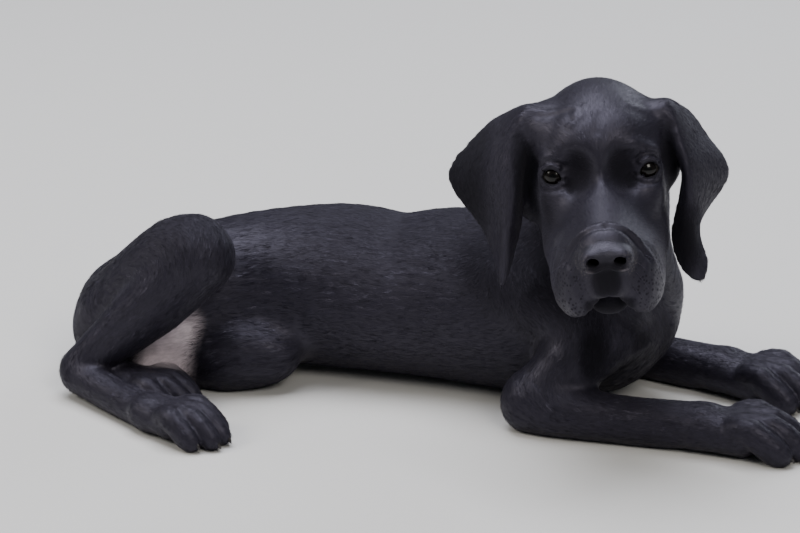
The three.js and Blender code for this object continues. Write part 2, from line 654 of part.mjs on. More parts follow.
// An ear's skin as a closed sheet: a front and a back net joined round the edge.
function earSheet(curves) {
  const spline = (points) => new THREE.CatmullRomCurve3(points.map(vec), false, 'catmullrom', 0.5);
  const [front, crease, rear] = [curves.front, curves.crease, curves.rear].map(spline);
  const { rows, columns } = EAR;
  const mid = Array.from({ length: rows }, (_, i) => {
    const t = i / (rows - 1);
    return earRow(front.getPoint(t), crease.getPoint(t), rear.getPoint(t), columns);
  });
  const at = (i, j) => mid[THREE.MathUtils.clamp(i, 0, rows - 1)][THREE.MathUtils.clamp(j, 0, columns - 1)];
  const layer = (sign) => mid.map((row, i) => row.map((p, j) => {
    const du = at(i + 1, j).clone().sub(at(i - 1, j));
    const dv = at(i, j + 1).clone().sub(at(i, j - 1));
    const t = i / (rows - 1);
    const nearRoot = Math.exp(-((t / EAR.rootReach) ** 2));
    const thick = EAR.thickness + (EAR.rootThickness - EAR.thickness) * nearRoot;
    return p.clone().addScaledVector(du.cross(dv).normalize(), (sign * thick) / 2);
  }));
  const points = [...layer(1).flat(), ...layer(-1).flat()];
  const id = (side, i, j) => side * rows * columns + i * columns + j;
  const triangles = [];
  const quad = (a, b, c, d) => triangles.push(a, b, c, a, c, d);
  for (let i = 0; i < rows - 1; i++) {
    for (let j = 0; j < columns - 1; j++) {
      quad(id(0, i, j), id(0, i + 1, j), id(0, i + 1, j + 1), id(0, i, j + 1));
      quad(id(1, i, j), id(1, i, j + 1), id(1, i + 1, j + 1), id(1, i + 1, j));
    }
    const last = columns - 1;
    quad(id(0, i, 0), id(1, i, 0), id(1, i + 1, 0), id(0, i + 1, 0));
    quad(id(0, i + 1, last), id(1, i + 1, last), id(1, i, last), id(0, i, last));
  }
  for (let j = 0; j < columns - 1; j++) {
    const last = rows - 1;
    quad(id(0, 0, j + 1), id(1, 0, j + 1), id(1, 0, j), id(0, 0, j));
    quad(id(0, last, j), id(1, last, j), id(1, last, j + 1), id(0, last, j + 1));
  }
  const geometry = new THREE.BufferGeometry();
  const places = points.flatMap((p) => p.toArray());
  geometry.setAttribute('position', new THREE.Float32BufferAttribute(places, 3));
  geometry.setIndex(triangles);
  return solid(geometry.applyMatrix4(HEAD_AXES));
}
// Points across the ear through front, crease and rear, eased by the root of each chord.
function earRow(front, crease, rear, count) {
  const knots = [0, Math.max(front.distanceTo(crease), 0.4) ** 0.7];
  knots.push(knots[1] + Math.max(crease.distanceTo(rear), 0.4) ** 0.7);
  const row = [front, crease, rear];
  const slope = (a, b) => row[b].clone().sub(row[a]).divideScalar(knots[b] - knots[a]);
  const slopes = [slope(0, 1), slope(0, 2), slope(1, 2)];
  return Array.from({ length: count }, (_, i) => {
    const t = (knots[2] * i) / (count - 1);
    const k = t < knots[1] ? 0 : 1;
    const h = knots[k + 1] - knots[k];
    const u = (t - knots[k]) / h;
    return new THREE.Vector3()
      .addScaledVector(row[k], 2 * u ** 3 - 3 * u ** 2 + 1)
      .addScaledVector(slopes[k], (u ** 3 - 2 * u ** 2 + u) * h)
      .addScaledVector(row[k + 1], 3 * u ** 2 - 2 * u ** 3)
      .addScaledVector(slopes[k + 1], (u ** 3 - u ** 2) * h);
  });
}

// A plane in the head's axes, its normal towards the head's side.
function headPlane(at, normal) {
  const turned = vec(normal).transformDirection(HEAD_AXES);
  return { at: vec(at).applyMatrix4(HEAD_AXES).toArray(), normal: turned.toArray() };
}
const plane = (at, normal) => ({ at, normal });

// The flesh nodes in the order that they claim space: each takes what is inside its own
// region and outside the regions of those before it. The last ones share the rest.
const HEAD_CUT = headPlane([-66, 0, -46], [0.75, 0, 0.66]);
const NECK_BASE = plane([122, -8, 106], [0.5, -0.25, 0.83]);
const TAIL_ROOT = plane([-212, -1, 25], [-0.55, 0.83, -0.1]);
const NODES = [
  {
    name: 'head', cell: CELL.face, grid: headGrid(HEAD_STEPS), lo: [60, -215, 60], hi: [235, 35, 275],
    planes: [HEAD_CUT],
  },
  {
    name: 'foreleg_right_paw', cell: CELL.paw, lo: [200, -125, -10], hi: [320, -27, 60],
    planes: [plane([228, -78, 20], [1, -0.02, 0])],
  },
  {
    name: 'foreleg_left_paw', cell: CELL.paw, lo: [195, -26, -10], hi: [320, 65, 60],
    planes: [plane([224, 26, 20], [1, -0.22, 0])],
  },
  {
    name: 'foreleg_right_lower', cell: CELL.limb, lo: [128, -115, -10], hi: [240, -50, 38],
    planes: [plane([150, -55, 20], [0.06, -1, 0])],
  },
  {
    name: 'foreleg_left_lower', cell: CELL.limb, lo: [124, -4, -10], hi: [240, 95, 38],
    planes: [plane([150, 28, 20], [0.27, 1, 0])],
  },
  {
    name: 'foreleg_right_upper', cell: CELL.limb, lo: [78, -115, -10], hi: [185, -40, 104],
    planes: [
      plane([120, -52, 40], [0, -1, -0.22]), plane([84, -70, 40], [1, 0, 0.3]),
      plane([171, -60, 70], [-1, -0.3, -0.4]),
    ],
  },
  {
    name: 'foreleg_left_upper', cell: CELL.limb, lo: [78, 30, -10], hi: [190, 100, 104],
    planes: [plane([120, 45, 40], [0, 1, -0.22]), plane([84, 60, 40], [1, 0, 0.3])],
  },
  {
    name: 'neck', cell: CELL.neck, lo: [60, -140, 58], hi: [225, 70, 225],
    planes: [NECK_BASE],
  },
  {
    name: 'hindleg_right_foot', cell: CELL.paw, lo: [-205, -195, -10], hi: [-55, -96, 46],
    planes: [plane([-180, -112, 20], [0.82, -0.56, -0.1]), plane([-150, -118, 14], [-0.45, -1, 0])],
  },
  {
    name: 'hindleg_left_foot', cell: CELL.paw, lo: [-200, -135, -10], hi: [-85, -72, 31],
    planes: [plane([-181, -80, 12], [0.6, -0.8, 0]), plane([-150, -79, 12], [-0.1, -1, 0])],
  },
  { name: 'hindleg_left_shank', cell: CELL.limb, lo: [-225, -84, -10], hi: [-124, -46, 31], planes: [] },
  {
    name: 'hindleg_right_shank', cell: CELL.limb, lo: [-235, -135, -10], hi: [-84, -60, 140],
    planes: [plane([-164, -77, 64], [0.2, -0.97, -0.12])],
  },
  {
    name: 'hindleg_right_thigh', cell: CELL.limb, lo: [-225, -120, 15], hi: [-78, 0, 150],
    planes: [plane([-157, -45, 66], [0, -0.79, 0.61]), plane([-112, -60, 80], [-1, -0.95, 0.35])],
  },
  {
    name: 'tail_tip', cell: CELL.tail, lo: [-245, 68, -10], hi: [-95, 140, 35], planes: [TAIL_ROOT],
  },
  {
    name: 'tail_base', cell: CELL.tail, lo: [-250, -35, -10], hi: [-175, 90, 60], planes: [TAIL_ROOT],
  },
  {
    name: 'hindleg_left_thigh', cell: CELL.limb, lo: [-215, -95, -10], hi: [-84, 0, 58],
    planes: [plane([-130, -34, 32], [0, -0.62, -0.78])],
  },
  { name: 'hips', cell: CELL.torso, lo: [-240, -110, -10], hi: [-104, 80, 140], planes: [] },
  { name: 'belly', cell: CELL.torso, lo: [-103.7, -110, -10], hi: [42, 95, 145], planes: [] },
  { name: 'chest', cell: CELL.torso, lo: [42.3, -110, -10], hi: [225, 95, 160], planes: [] },
];
const PAWS = {
  foreleg_right_paw: FORELEG_RIGHT.paw,
  foreleg_left_paw: FORELEG_LEFT.paw,
  hindleg_right_foot: HINDLEG_RIGHT.paw,
  hindleg_left_foot: HINDLEG_LEFT.paw,
};

// The head with its lids added, and its sockets, lid openings and grooves cut.
function finishHead(head) {
  let out = head;
  for (const side of [1, -1]) out = out.add(lidRim(side));
  for (const side of [1, -1]) {
    out = out.subtract(solid(eyeball(side, EYEBALL.radius + GAP))).subtract(lidOpening(side));
  }
  return out.subtract(headGrooves());
}

const floor = halfSpace({ at: [0, 0, 0], normal: [0, 0, 1] });
const group = new THREE.Group();

function addMesh(name, manifold, finish) {
  const mesh = new THREE.Mesh(geometryOf(manifold), new THREE.MeshStandardMaterial(finish));
  mesh.name = name;
  group.add(mesh);
}

NODES.forEach((node, order) => {
  let flesh = netSolid(surfaceNet(bodyDistance, node));
  flesh = flesh.intersect(floor).intersect(region(node));
  for (const before of NODES.slice(0, order)) flesh = flesh.subtract(region(before, GAP));
  if (PAWS[node.name]) flesh = flesh.add(claws(PAWS[node.name]).intersect(floor));
  if (node.name === 'head') flesh = finishHead(flesh);
  addMesh(node.name, largest(flesh), COAT);
});

// The ears' roots stop just short of the head, and the eyes lie in their sockets.
const awayFromHead = (x, y, z) => bodyDistance(x, y, z) - EAR.clearance;
const nearHead = netSolid(surfaceNet(awayFromHead, NODES[0]));
for (const [name, curves] of [['ear_right', EAR_RIGHT], ['ear_left', EAR_LEFT]]) {
  addMesh(name, largest(earSheet(curves).subtract(nearHead)), COAT);
}
for (const [name, side] of [['eye_left', 1], ['eye_right', -1]]) {
  addMesh(name, solid(eyeball(side, EYEBALL.radius)), EYE);
}

group.position.set(-FOOTPRINT_MIDDLE[0], -FOOTPRINT_MIDDLE[1], 0);

export default group;
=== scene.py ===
"""A black great dane puppy lying down: one skin with its short coat, eyes, claws and whiskers.

Sizes are millimetres in the puppy's own axes: +X forward along the body, +Y to its left, +Z up,
the floor at Z = 0. A point becomes metres in the row's frame only when a mesh is made of it.
"""
import logging
import math
from dataclasses import astuple, dataclass, field, replace
from enum import Enum
from typing import Sequence

import bpy
import numpy as np
from mathutils import Matrix


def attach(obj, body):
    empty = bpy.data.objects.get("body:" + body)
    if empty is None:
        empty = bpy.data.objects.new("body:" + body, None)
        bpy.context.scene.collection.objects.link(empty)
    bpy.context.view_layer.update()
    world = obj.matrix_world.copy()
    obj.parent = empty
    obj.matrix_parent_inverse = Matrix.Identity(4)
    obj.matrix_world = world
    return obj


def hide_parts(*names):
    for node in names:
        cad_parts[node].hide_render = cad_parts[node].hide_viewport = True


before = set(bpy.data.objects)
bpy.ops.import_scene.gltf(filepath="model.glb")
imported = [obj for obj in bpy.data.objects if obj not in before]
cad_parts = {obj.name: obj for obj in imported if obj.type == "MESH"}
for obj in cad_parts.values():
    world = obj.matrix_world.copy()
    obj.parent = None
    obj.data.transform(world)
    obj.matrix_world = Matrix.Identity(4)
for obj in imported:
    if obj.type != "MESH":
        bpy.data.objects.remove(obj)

Array = np.ndarray
Triple = tuple[float, float, float]
Rows = Sequence[Sequence[float]]

LOG = logging.getLogger("puppy")
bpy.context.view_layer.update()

MM = 0.001
# The middle of the footprint in the puppy's own axes. The row's origin is there.
FOOTPRINT_MIDDLE = (37.2, -31.9, 0.0)
# How far the skin lies inside the solids, where the coat's depth makes up the rest.
COAT_DEPTH = 0.8
# A distance that counts as nowhere near, and how far from its stations a form still counts.
FAR = 1.0e3
FORM_MARGIN = 30.0


class Region(Enum):
    """The parts of the coat, each with a length of hair and a place on the unwrap."""

    HEAD = 0
    NECK = 1
    TORSO = 2
    FORELEG = 3
    HINDLEG = 4
    PAW = 5
    TAIL = 6
    EAR = 7


def unit(v: Array) -> Array:
    """Return vectors divided by their length, along the last axis."""
    return v / np.maximum(np.linalg.norm(v, axis=-1, keepdims=True), 1e-9)


def smooth_union(a: Array, b: Array, width: float) -> Array:
    """Join two distances: the lesser of both, less a parabola where they differ under width."""
    near = np.maximum(width - np.abs(a - b), 0.0) / width
    return np.minimum(a, b) - near * near * width * 0.25


def smooth_cut(a: Array, b: Array, width: float) -> Array:
    """Return the first distances with the second's inside cut away, its edge rounded over width."""
    return -smooth_union(-a, b, width)


def ellipsoid_distance(offset: Array, radii: Array) -> Array:
    """Approximate distance to an ellipsoid: its level times level less one, over its slope.

    Args:
        offset: Points from the ellipsoid's middle, in its axes.
        radii: Its three radii, for all points or for each.

    Returns:
        A distance for each point, negative inside.
    """
    level = np.sqrt(((offset / radii) ** 2).sum(-1))
    slope = np.sqrt(((offset / radii**2) ** 2).sum(-1))
    return level * (level - 1.0) / np.maximum(slope, 1e-9)


def spline(rows: Array, steps: int) -> Array:
    """Carry a Catmull-Rom curve through rows, with mirrored ends.

    Args:
        rows: Control rows, one for each station.
        steps: Steps between two stations.

    Returns:
        The rows along the curve, both ends included.
    """
    ends = np.concatenate([2 * rows[:1] - rows[1:2], rows, 2 * rows[-1:] - rows[-2:-1]])
    where = np.linspace(0, len(rows) - 1, (len(rows) - 1) * steps + 1)
    i = np.minimum(where.astype(int), len(rows) - 2)
    t = (where - i).reshape(-1, *[1] * (rows.ndim - 1))
    a, b, c, d = (ends[i + n] for n in range(4))
    bend, twist = 2 * a - 5 * b + 4 * c - d, 3 * b - a - 3 * c + d
    return 0.5 * (2 * b + (c - a) * t + bend * t**2 + twist * t**3)


def turned(vector: Array, axis: Array, angle: Array) -> Array:
    """Turn vectors about unit axes: Rodrigues' formula.

    Args:
        vector: Vectors to turn.
        axis: One axis for each.
        angle: One angle for each, in radians.

    Returns:
        The turned vectors.
    """
    c, s = np.cos(angle)[..., None], np.sin(angle)[..., None]
    along = (vector * axis).sum(-1, keepdims=True) * axis
    return vector * c + np.cross(axis, vector) * s + along * (1 - c)


@dataclass
class Ball:
    """An ellipsoid of flesh.

    Its hair lies along a fixed direction.
    """

    at: Triple
    radii: Triple
    blend: float
    region: Region = Region.TORSO
    hair: Triple = (-1.0, 0.0, 0.0)

    def box(self) -> tuple[Array, Array]:
        """Return the corners of the space where the ball counts."""
        reach = np.array(self.radii) + FORM_MARGIN
        return np.array(self.at) - reach, np.array(self.at) + reach

    def distance(self, points: Array) -> Array:
        """Return the distance to the ellipsoid for each point."""
        return ellipsoid_distance(points - self.at, np.array(self.radii))

    def flow(self, points: Array) -> Array:
        """Return the way the hair lies at each point."""
        return np.broadcast_to(np.array(self.hair), points.shape)


@dataclass
class Tube:
    """A tapering tube of flesh through stations of x, y, z, half width, half height and roll.

    Its hair lies along the stations, or against them where hair is -1.
    """

    stations: Rows
    blend: float
    region: Region = Region.TORSO
    steps: int = 2
    up: Triple = (0.0, 0.0, 1.0)
    hair: float = 1.0

    def __post_init__(self) -> None:
        """Work out each length's axes from its two ends."""
        rows = np.array([(*s, *[0.0] * (6 - len(s))) for s in self.stations], float)
        rows = spline(rows, self.steps)
        self.rows = rows
        span = rows[1:, :3] - rows[:-1, :3]
        self.length = np.linalg.norm(span, axis=1)
        self.forward = unit(span)
        up = np.array(self.up) - (self.forward @ self.up)[:, None] * self.forward
        roll = np.radians((rows[1:, 5] + rows[:-1, 5]) / 2)
        self.above = turned(unit(up), self.forward, roll)
        self.side = np.cross(self.forward, self.above)

    def box(self) -> tuple[Array, Array]:
        """Return the corners of the space where the tube counts."""
        reach = self.rows[:, 3:5].max(1)[:, None] + FORM_MARGIN
        return (self.rows[:, :3] - reach).min(0), (self.rows[:, :3] + reach).max(0)

    def length_distance(self, points: Array, i: int) -> Array:
        """Distance to one length: an ellipsoid that slides and grows along it.

        Args:
            points: Points in the tube's axes.
            i: Which length.

        Returns:
            A distance for each point.
        """
        offset = points - self.rows[i, :3]
        along = offset @ self.forward[i]
        t = np.clip(along / self.length[i], 0, 1)
        wide = self.rows[i, 3] + (self.rows[i + 1, 3] - self.rows[i, 3]) * t
        high = self.rows[i, 4] + (self.rows[i + 1, 4] - self.rows[i, 4]) * t
        local = np.stack([along - t * self.length[i], offset @ self.side[i], offset @ self.above[i]], -1)
        return ellipsoid_distance(local, np.stack([np.minimum(wide, high), wide, high], -1))

    def distance(self, points: Array) -> Array:
        """Return the distance to the nearest length for each point."""
        best = np.full(len(points), FAR)
        for i in range(len(self.length)):
            best = np.minimum(best, self.length_distance(points, i))
        return best

    def flow(self, points: Array) -> Array:
        """Return the way the hair lies at each point: the nearest length's direction."""
        apart = np.stack([self.length_distance(points, i) for i in range(len(self.length))])
        return self.forward[apart.argmin(0)] * self.hair


@dataclass
class HeadAxes:
    """The head's own axes: muzzle forward, left and up, through the middle between the eyes."""

    at: Triple = (162.0, -105.0, 196.0)
    turn: float = 12.5
    pitch: float = 5.0
    roll: float = 5.4

    def __post_init__(self) -> None:
        """Work out the three axes as columns."""
        turn, pitch = math.radians(self.turn), math.radians(self.pitch)
        level = math.cos(pitch)
        ahead = np.array([math.sin(turn) * level, -math.cos(turn) * level, math.sin(pitch)])
        left = unit(np.cross([0.0, 0.0, 1.0], ahead))
        left = turned(left[None], ahead[None], np.radians([self.roll]))[0]
        self.columns = np.stack([ahead, left, np.cross(ahead, left)], axis=1)

    def inward(self, points: Array) -> Array:
        """Return body points in the head's axes."""
        return (points - self.at) @ self.columns

    def outward(self, points: Array) -> Array:
        """Return head points in the body's axes."""
        return np.asarray(points, float) @ self.columns.T + self.at

    def turn_out(self, vectors: Array) -> Array:
        """Return head directions in the body's axes."""
        return np.asarray(vectors, float) @ self.columns.T


HEAD = HeadAxes()


@dataclass
class Eye:
    """One eye's place and its lids. Side is 1 for the puppy's left and -1 for its right."""

    side: int
    at: Triple = (-8.6, 29.4, -0.6)
    radius: float = 9.3
    outward: float = 14.0
    swell: float = 11.0
    swell_blend: float = 4.5
    half_width: float = 6.7
    upper: float = 5.5
    lower: float = 4.5
    pinch: float = 3.0
    slant: float = -0.08
    ledge: float = 8.4
    edge: float = 1.0
    reach: float = 30.0

    @property
    def middle(self) -> Array:
        """Return the ball's middle in the head's axes."""
        return np.array(self.at) * (1, self.side, 1)

    def axes(self) -> Array:
        """Return the eye's gaze, outward and up directions as rows, in the head's axes."""
        angle = math.radians(self.outward) * self.side
        gaze = np.array([math.cos(angle), math.sin(angle), 0.0])
        across = np.cross([0.0, 0.0, 1.0], gaze) * self.side
        return np.stack([gaze, across, [0.0, 0.0, 1.0]])

    def slit(self, local: Array) -> Array:
        """How far a point lies outside the almond slit, seen along the gaze.

        The lids' edges rise and fall by one less the place across to a power.

        Args:
            local: Points from the ball's middle, in the eye's axes.

        Returns:
            Negative between the lids.
        """
        across = local[:, 1]
        up = local[:, 2] + self.slant * across
        arch = 1 - np.abs(np.clip(across / self.half_width, -1, 1)) ** self.pinch
        return np.maximum.reduce([
            up - self.upper * arch, -self.lower * arch - up, np.abs(across) - self.half_width,
        ])

    def dress(self, points: Array, distance: Array) -> Array:
        """Swell the lids over the ball and part them.

        Args:
            points: Points in the head's axes.
            distance: The distances there.

        Returns:
            The distances with this eye's lids.
        """
        local = (points - self.middle) @ self.axes().T
        far = np.linalg.norm(local, axis=1)
        lids = smooth_union(distance, far - self.swell, self.swell_blend)
        hole = np.maximum.reduce([self.slit(local), -local[:, 0], self.ledge - far])
        return smooth_cut(lids, hole, self.edge)


@dataclass
class Nose:
    """The nostrils and the groove below the nose pad, cut into the muzzle."""

    nostril: Rows = ((84, 9.6, -39.9, 4.9, 3.5), (62, 7, -38.5, 2.8, 2.4))
    wing: Rows = ((78, 13, -41, 1.8, 1.4), (68, 18.7, -45.5, 1.2, 1.0))
    groove: Rows = ((80, 0, -44, 0.9, 0.9), (70, 0, -64, 0.9, 0.9))
    pad_at: Triple = (67.0, 0.0, -38.5)
    pad_radii: Triple = (12.0, 18.5, 13.5)
    pad_edge: float = 8.0
    flaky_level: float = 1.06
    flaky_width: float = 0.12
    flaky_side: float = 11.0
    flaky_top: float = -27.0
    back: float = 50.0

    def dress(self, points: Array, distance: Array) -> Array:
        """Cut both nostrils and the groove.

        Args:
            points: Points in the head's axes, all with their side folded to the left.
            distance: The distances there.

        Returns:
            The distances with the cuts.
        """
        for rows, edge in ((self.nostril, 1.2), (self.wing, 1.2), (self.groove, 1.5)):
            distance = smooth_cut(distance, Tube(rows, 1, steps=1).distance(points), edge)
        return distance

    def level(self, points: Array) -> Array:
        """Return 0 at the pad's middle and 1 at its edge, from points in the head's axes."""
        return np.sqrt((((points - self.pad_at) / self.pad_radii) ** 2).sum(1))

    def pad(self, points: Array) -> Array:
        """Return 1 on the bare nose pad and 0 on hair, from points in the head's axes."""
        return np.clip((1.0 - self.level(points)) * self.pad_edge, 0, 1)

    def chafed(self, points: Array) -> Array:
        """Return 1 where dry skin flakes at the pad's sides, from points in the head's axes."""
        ring = np.clip(1.6 - np.abs(self.level(points) - self.flaky_level) / self.flaky_width, 0, 1)
        sides = np.clip((np.abs(points[:, 1]) - self.flaky_side) / 4, 0, 1)
        return ring * sides * (points[:, 2] < self.flaky_top)


@dataclass
class Skull:
    """The head's flesh, the same on both sides but for what the loose scalp adds at the right."""

    blend: float = 14.0
    reach: float = 190.0
    eyes: tuple[Eye, ...] = (Eye(1), Eye(-1))
    nose: Nose = field(default_factory=Nose)

    def __post_init__(self) -> None:
        """Set out the forms of the left half, each with the width that it blends over."""
        cranium = [
            Ball((-42, 0, 8), (54, 41, 46), 1),
            Ball((-40, 16, 18), (36, 21, 20), 14),
            Ball((-17, 13, 15), (20, 18, 20), 14),
            Ball((-34, 32, 22), (20, 14, 15.5), 11),
            Ball((-42, 43, 2), (18, 12, 24), 12),
        ]
        cheek = [
            Tube(((-38, 33, -8, 9, 10), (-3, 31, -13, 8, 9)), 12, steps=1),
            Ball((-20, 24, -36), (32, 18, 32), 14),
        ]
        brow = [Tube(((-10, 14, 16, 8, 5), (-9, 34, 12, 8, 4)), 10, steps=1)]
        muzzle = [
            Tube(((0, 0, -24, 27, 21), (58, 0, -38, 20, 16)), 14, steps=1),
            Tube(((-6, 0, 4, 9, 8), (8, 0, -13, 11, 8)), 10, steps=1),
            Tube(((6, 0, -12, 13, 9), (58, 0, -27, 12, 7)), 8, steps=1),
            Ball((22, 18, -42), (34, 14, 14), 10),
        ]
        flews = [Tube(
            ((60, 4, -55.5, 11, 11.5), (58, 11.5, -56.5, 9.5, 12.7), (53, 21, -60.5, 9.8, 19.5),
             (38, 25.5, -61.5, 11, 20.5), (16, 28, -59, 10, 19), (-8, 29, -52, 10, 16)), 10, steps=3,
        )]
        jaw = [
            Tube(((-40, 0, -56, 27, 20), (0, 0, -62, 22, 15), (44, 0, -69, 11, 9)), 3, steps=1),
            Ball((44, 0, -73), (12, 13, 9.2), 4),
        ]
        nose = [
            Tube(((51, 22.5, -46, 1.4, 1.4), (53.5, 22, -35, 1.6, 1.6), (56.5, 14.5, -25, 1.7, 1.7),
                  (57.5, 0, -21.5, 1.7, 1.7)), 4, up=(1, 0, 0), steps=3),
            Ball((65, 0, -37.5), (13, 17.5, 10.5), 1.5),
            Ball((70.5, 10, -39.5), (8, 7.8, 8.0), 4),
        ]
        self.forms = [*cranium, *cheek, *brow, *muzzle, *flews, *jaw, *nose]
        self.right_forms = [Ball((-34, -33, 25), (20, 14, 15.5), 11)]
        self.hollow = Ball((11, 15.5, 4), (10, 8, 10), 11)

    def distance(self, points: Array) -> Array:
        """Distance to the head without its lids and cuts.

        Args:
            points: Points in the head's axes.

        Returns:
            A distance for each point.
        """
        folded = points * (1, 0, 1) + np.abs(points) * (0, 1, 0)
        best = np.full(len(points), FAR)
        for form in self.forms:
            best = smooth_union(best, form.distance(folded), form.blend)
        for form in self.right_forms:
            best = smooth_union(best, form.distance(points), form.blend)
        return smooth_cut(best, self.hollow.distance(folded), self.hollow.blend)

    def dress(self, points: Array, distance: Array) -> Array:
        """Add the lids and cut the nostrils.

        Args:
            points: Points in the head's axes.
            distance: The distances there.

        Returns:
            The finished distances.
        """
        for eye in self.eyes:
            near = np.abs(points - eye.middle).max(1) < eye.reach
            distance[near] = eye.dress(points[near], distance[near])
        near = points[:, 0] > self.nose.back
        folded = points[near] * (1, 0, 1) + np.abs(points[near]) * (0, 1, 0)
        distance[near] = self.nose.dress(folded, distance[near])
        return distance

    def flow(self, points: Array) -> Array:
        """Return the way the hair lies, in the head's axes: back, outward and down the cheeks."""
        half_width, cheek_top, cheek_height, spread = 40, -10, 60, 0.6
        out = np.sign(points[:, 1]) * np.clip(np.abs(points[:, 1]) / half_width, 0, 1)
        down = np.clip((cheek_top - points[:, 2]) / cheek_height, -0.3, 0.8)
        return np.stack([-np.ones(len(points)), spread * out, -down], axis=1)


@dataclass
class Ear:
    """An ear's skin between a front margin, a crease and a rear margin, from root to tip.

    The margins are in the head's axes. Distances go to samples of the sheet, corrected by the
    sheet's own direction there. It is a little thicker than a real ear, so that the net's cells
    can follow both of its faces.
    """

    front: Rows
    crease: Rows
    rear: Rows
    half: float = 3.1
    root_half: float = 1.6
    root_reach: float = 0.12
    blend: float = 5.0
    rows: int = 14
    columns: int = 44
    reach: float = 14.0
    margin: float = 18.0
    spacing: float = 0.7
    ease: float = 0.7
    thin_rim: float = 0.8

    def __post_init__(self) -> None:
        """Lay out the sheet: splines down the three margins, an eased curve across each row."""
        margins = [spline(np.array(m, float), self.rows) for m in (self.front, self.crease, self.rear)]
        self.grid = self.across(*margins)
        down, over = np.gradient(self.grid, axis=0), np.gradient(self.grid, axis=1)
        normal = unit(np.cross(down, over))
        t = np.linspace(0, 1, len(self.grid))[:, None]
        u = np.linspace(0, 1, self.columns)[None]
        rim = np.clip(np.minimum(np.minimum(u, 1 - u) * 8, (1 - t) * 12), 0, 1)
        thick = self.half + self.root_half * np.exp(-((t / self.root_reach) ** 2))
        thick = thick * (self.thin_rim + 0.2 * np.sqrt(rim))
        self.places = self.grid.reshape(-1, 3).astype(np.float32)
        self.normals = normal.reshape(-1, 3).astype(np.float32)
        self.downs = unit(down).reshape(-1, 3).astype(np.float32)
        self.halves = thick.reshape(-1).astype(np.float32)

    def across(self, front: Array, crease: Array, rear: Array) -> Array:
        """Join the margins row by row with Hermite curves, timed by each chord's power.

        Args:
            front: The front margin's points.
            crease: The crease's points.
            rear: The rear margin's points.

        Returns:
            A grid of points, rows by columns.
        """
        shortest = 0.4
        first = np.maximum(np.linalg.norm(crease - front, axis=1), shortest) ** self.ease
        second = np.maximum(np.linalg.norm(rear - crease, axis=1), shortest) ** self.ease
        whole = (first + second)[:, None]
        slopes = [
            (crease - front) / first[:, None], (rear - front) / whole, (rear - crease) / second[:, None],
        ]
        t = np.linspace(0, 1, self.columns)[None] * whole
        late = t >= first[:, None]
        h = np.where(late, second[:, None], first[:, None])
        u = ((t - np.where(late, first[:, None], 0)) / h)[..., None]
        p, q = self.picked(late, front, crease), self.picked(late, crease, rear)
        m, n = self.picked(late, *slopes[:2]), self.picked(late, *slopes[1:])
        h = h[..., None]
        return ((2 * u**3 - 3 * u**2 + 1) * p + (u**3 - 2 * u**2 + u) * h * m
                + (3 * u**2 - 2 * u**3) * q + (u**3 - u**2) * h * n)

    @staticmethod
    def picked(late: Array, before: Array, after: Array) -> Array:
        """Return each row's own value: the second where late, which is past the crease."""
        return np.where(late[..., None], after[:, None], before[:, None])

    @staticmethod
    def nearest(points: Array, places: Array) -> tuple[Array, Array]:
        """Find the nearest sample to each point, some thousands of points at a time.

        Args:
            points: Points to look from.
            places: Samples to look at.

        Returns:
            The distances and the samples' indices.
        """
        apart = np.empty(len(points), np.float32)
        which = np.empty(len(points), np.int64)
        squares = (places * places).sum(1)
        batch = 4000
        for start in range(0, len(points), batch):
            part = points[start:start + batch]
            table = squares[None] - 2 * part @ places.T
            best = table.argmin(1)
            which[start:start + batch] = best
            gap = table[np.arange(len(part)), best] + (part * part).sum(1)
            apart[start:start + batch] = np.sqrt(np.maximum(gap, 0))
        return apart, which

    def distance(self, points: Array) -> Array:
        """Distance to the ear's skin.

        Close by it is the height over the sheet and the way past its edge, less the thickness.
        Farther off it is the way to the nearest of a few samples, less what those may miss.

        Args:
            points: Points in the head's axes.

        Returns:
            A distance for each point.
        """
        sparse, missed = 7, 2.0
        out = np.full(len(points), FAR)
        lo, hi = self.places.min(0) - self.margin, self.places.max(0) + self.margin
        inside = np.flatnonzero(np.all((points > lo) & (points < hi), axis=1))
        if not len(inside):
            return out
        spots = points[inside].astype(np.float32)
        rough = self.nearest(spots, self.places[::sparse])[0]
        out[inside] = rough - missed
        close = rough < self.reach
        if close.any():
            out[inside[close]] = self.fine_distance(spots[close])
        return out

    def fine_distance(self, spots: Array) -> Array:
        """Distance to the ear's skin close to the sheet.

        Args:
            spots: Points in the head's axes.

        Returns:
            A distance for each point.
        """
        which = self.nearest(spots, self.places)[1]
        offset = spots - self.places[which]
        height = (offset * self.normals[which]).sum(1)
        aside = np.sqrt(np.maximum((offset * offset).sum(1) - height * height, 0))
        return np.sqrt(height * height + np.maximum(aside - self.spacing, 0) ** 2) - self.halves[which]

    def flow(self, points: Array) -> Array:
        """Return the way the hair lies: from the root to the tip."""
        return self.downs[self.nearest(points.astype(np.float32), self.places)[1]]


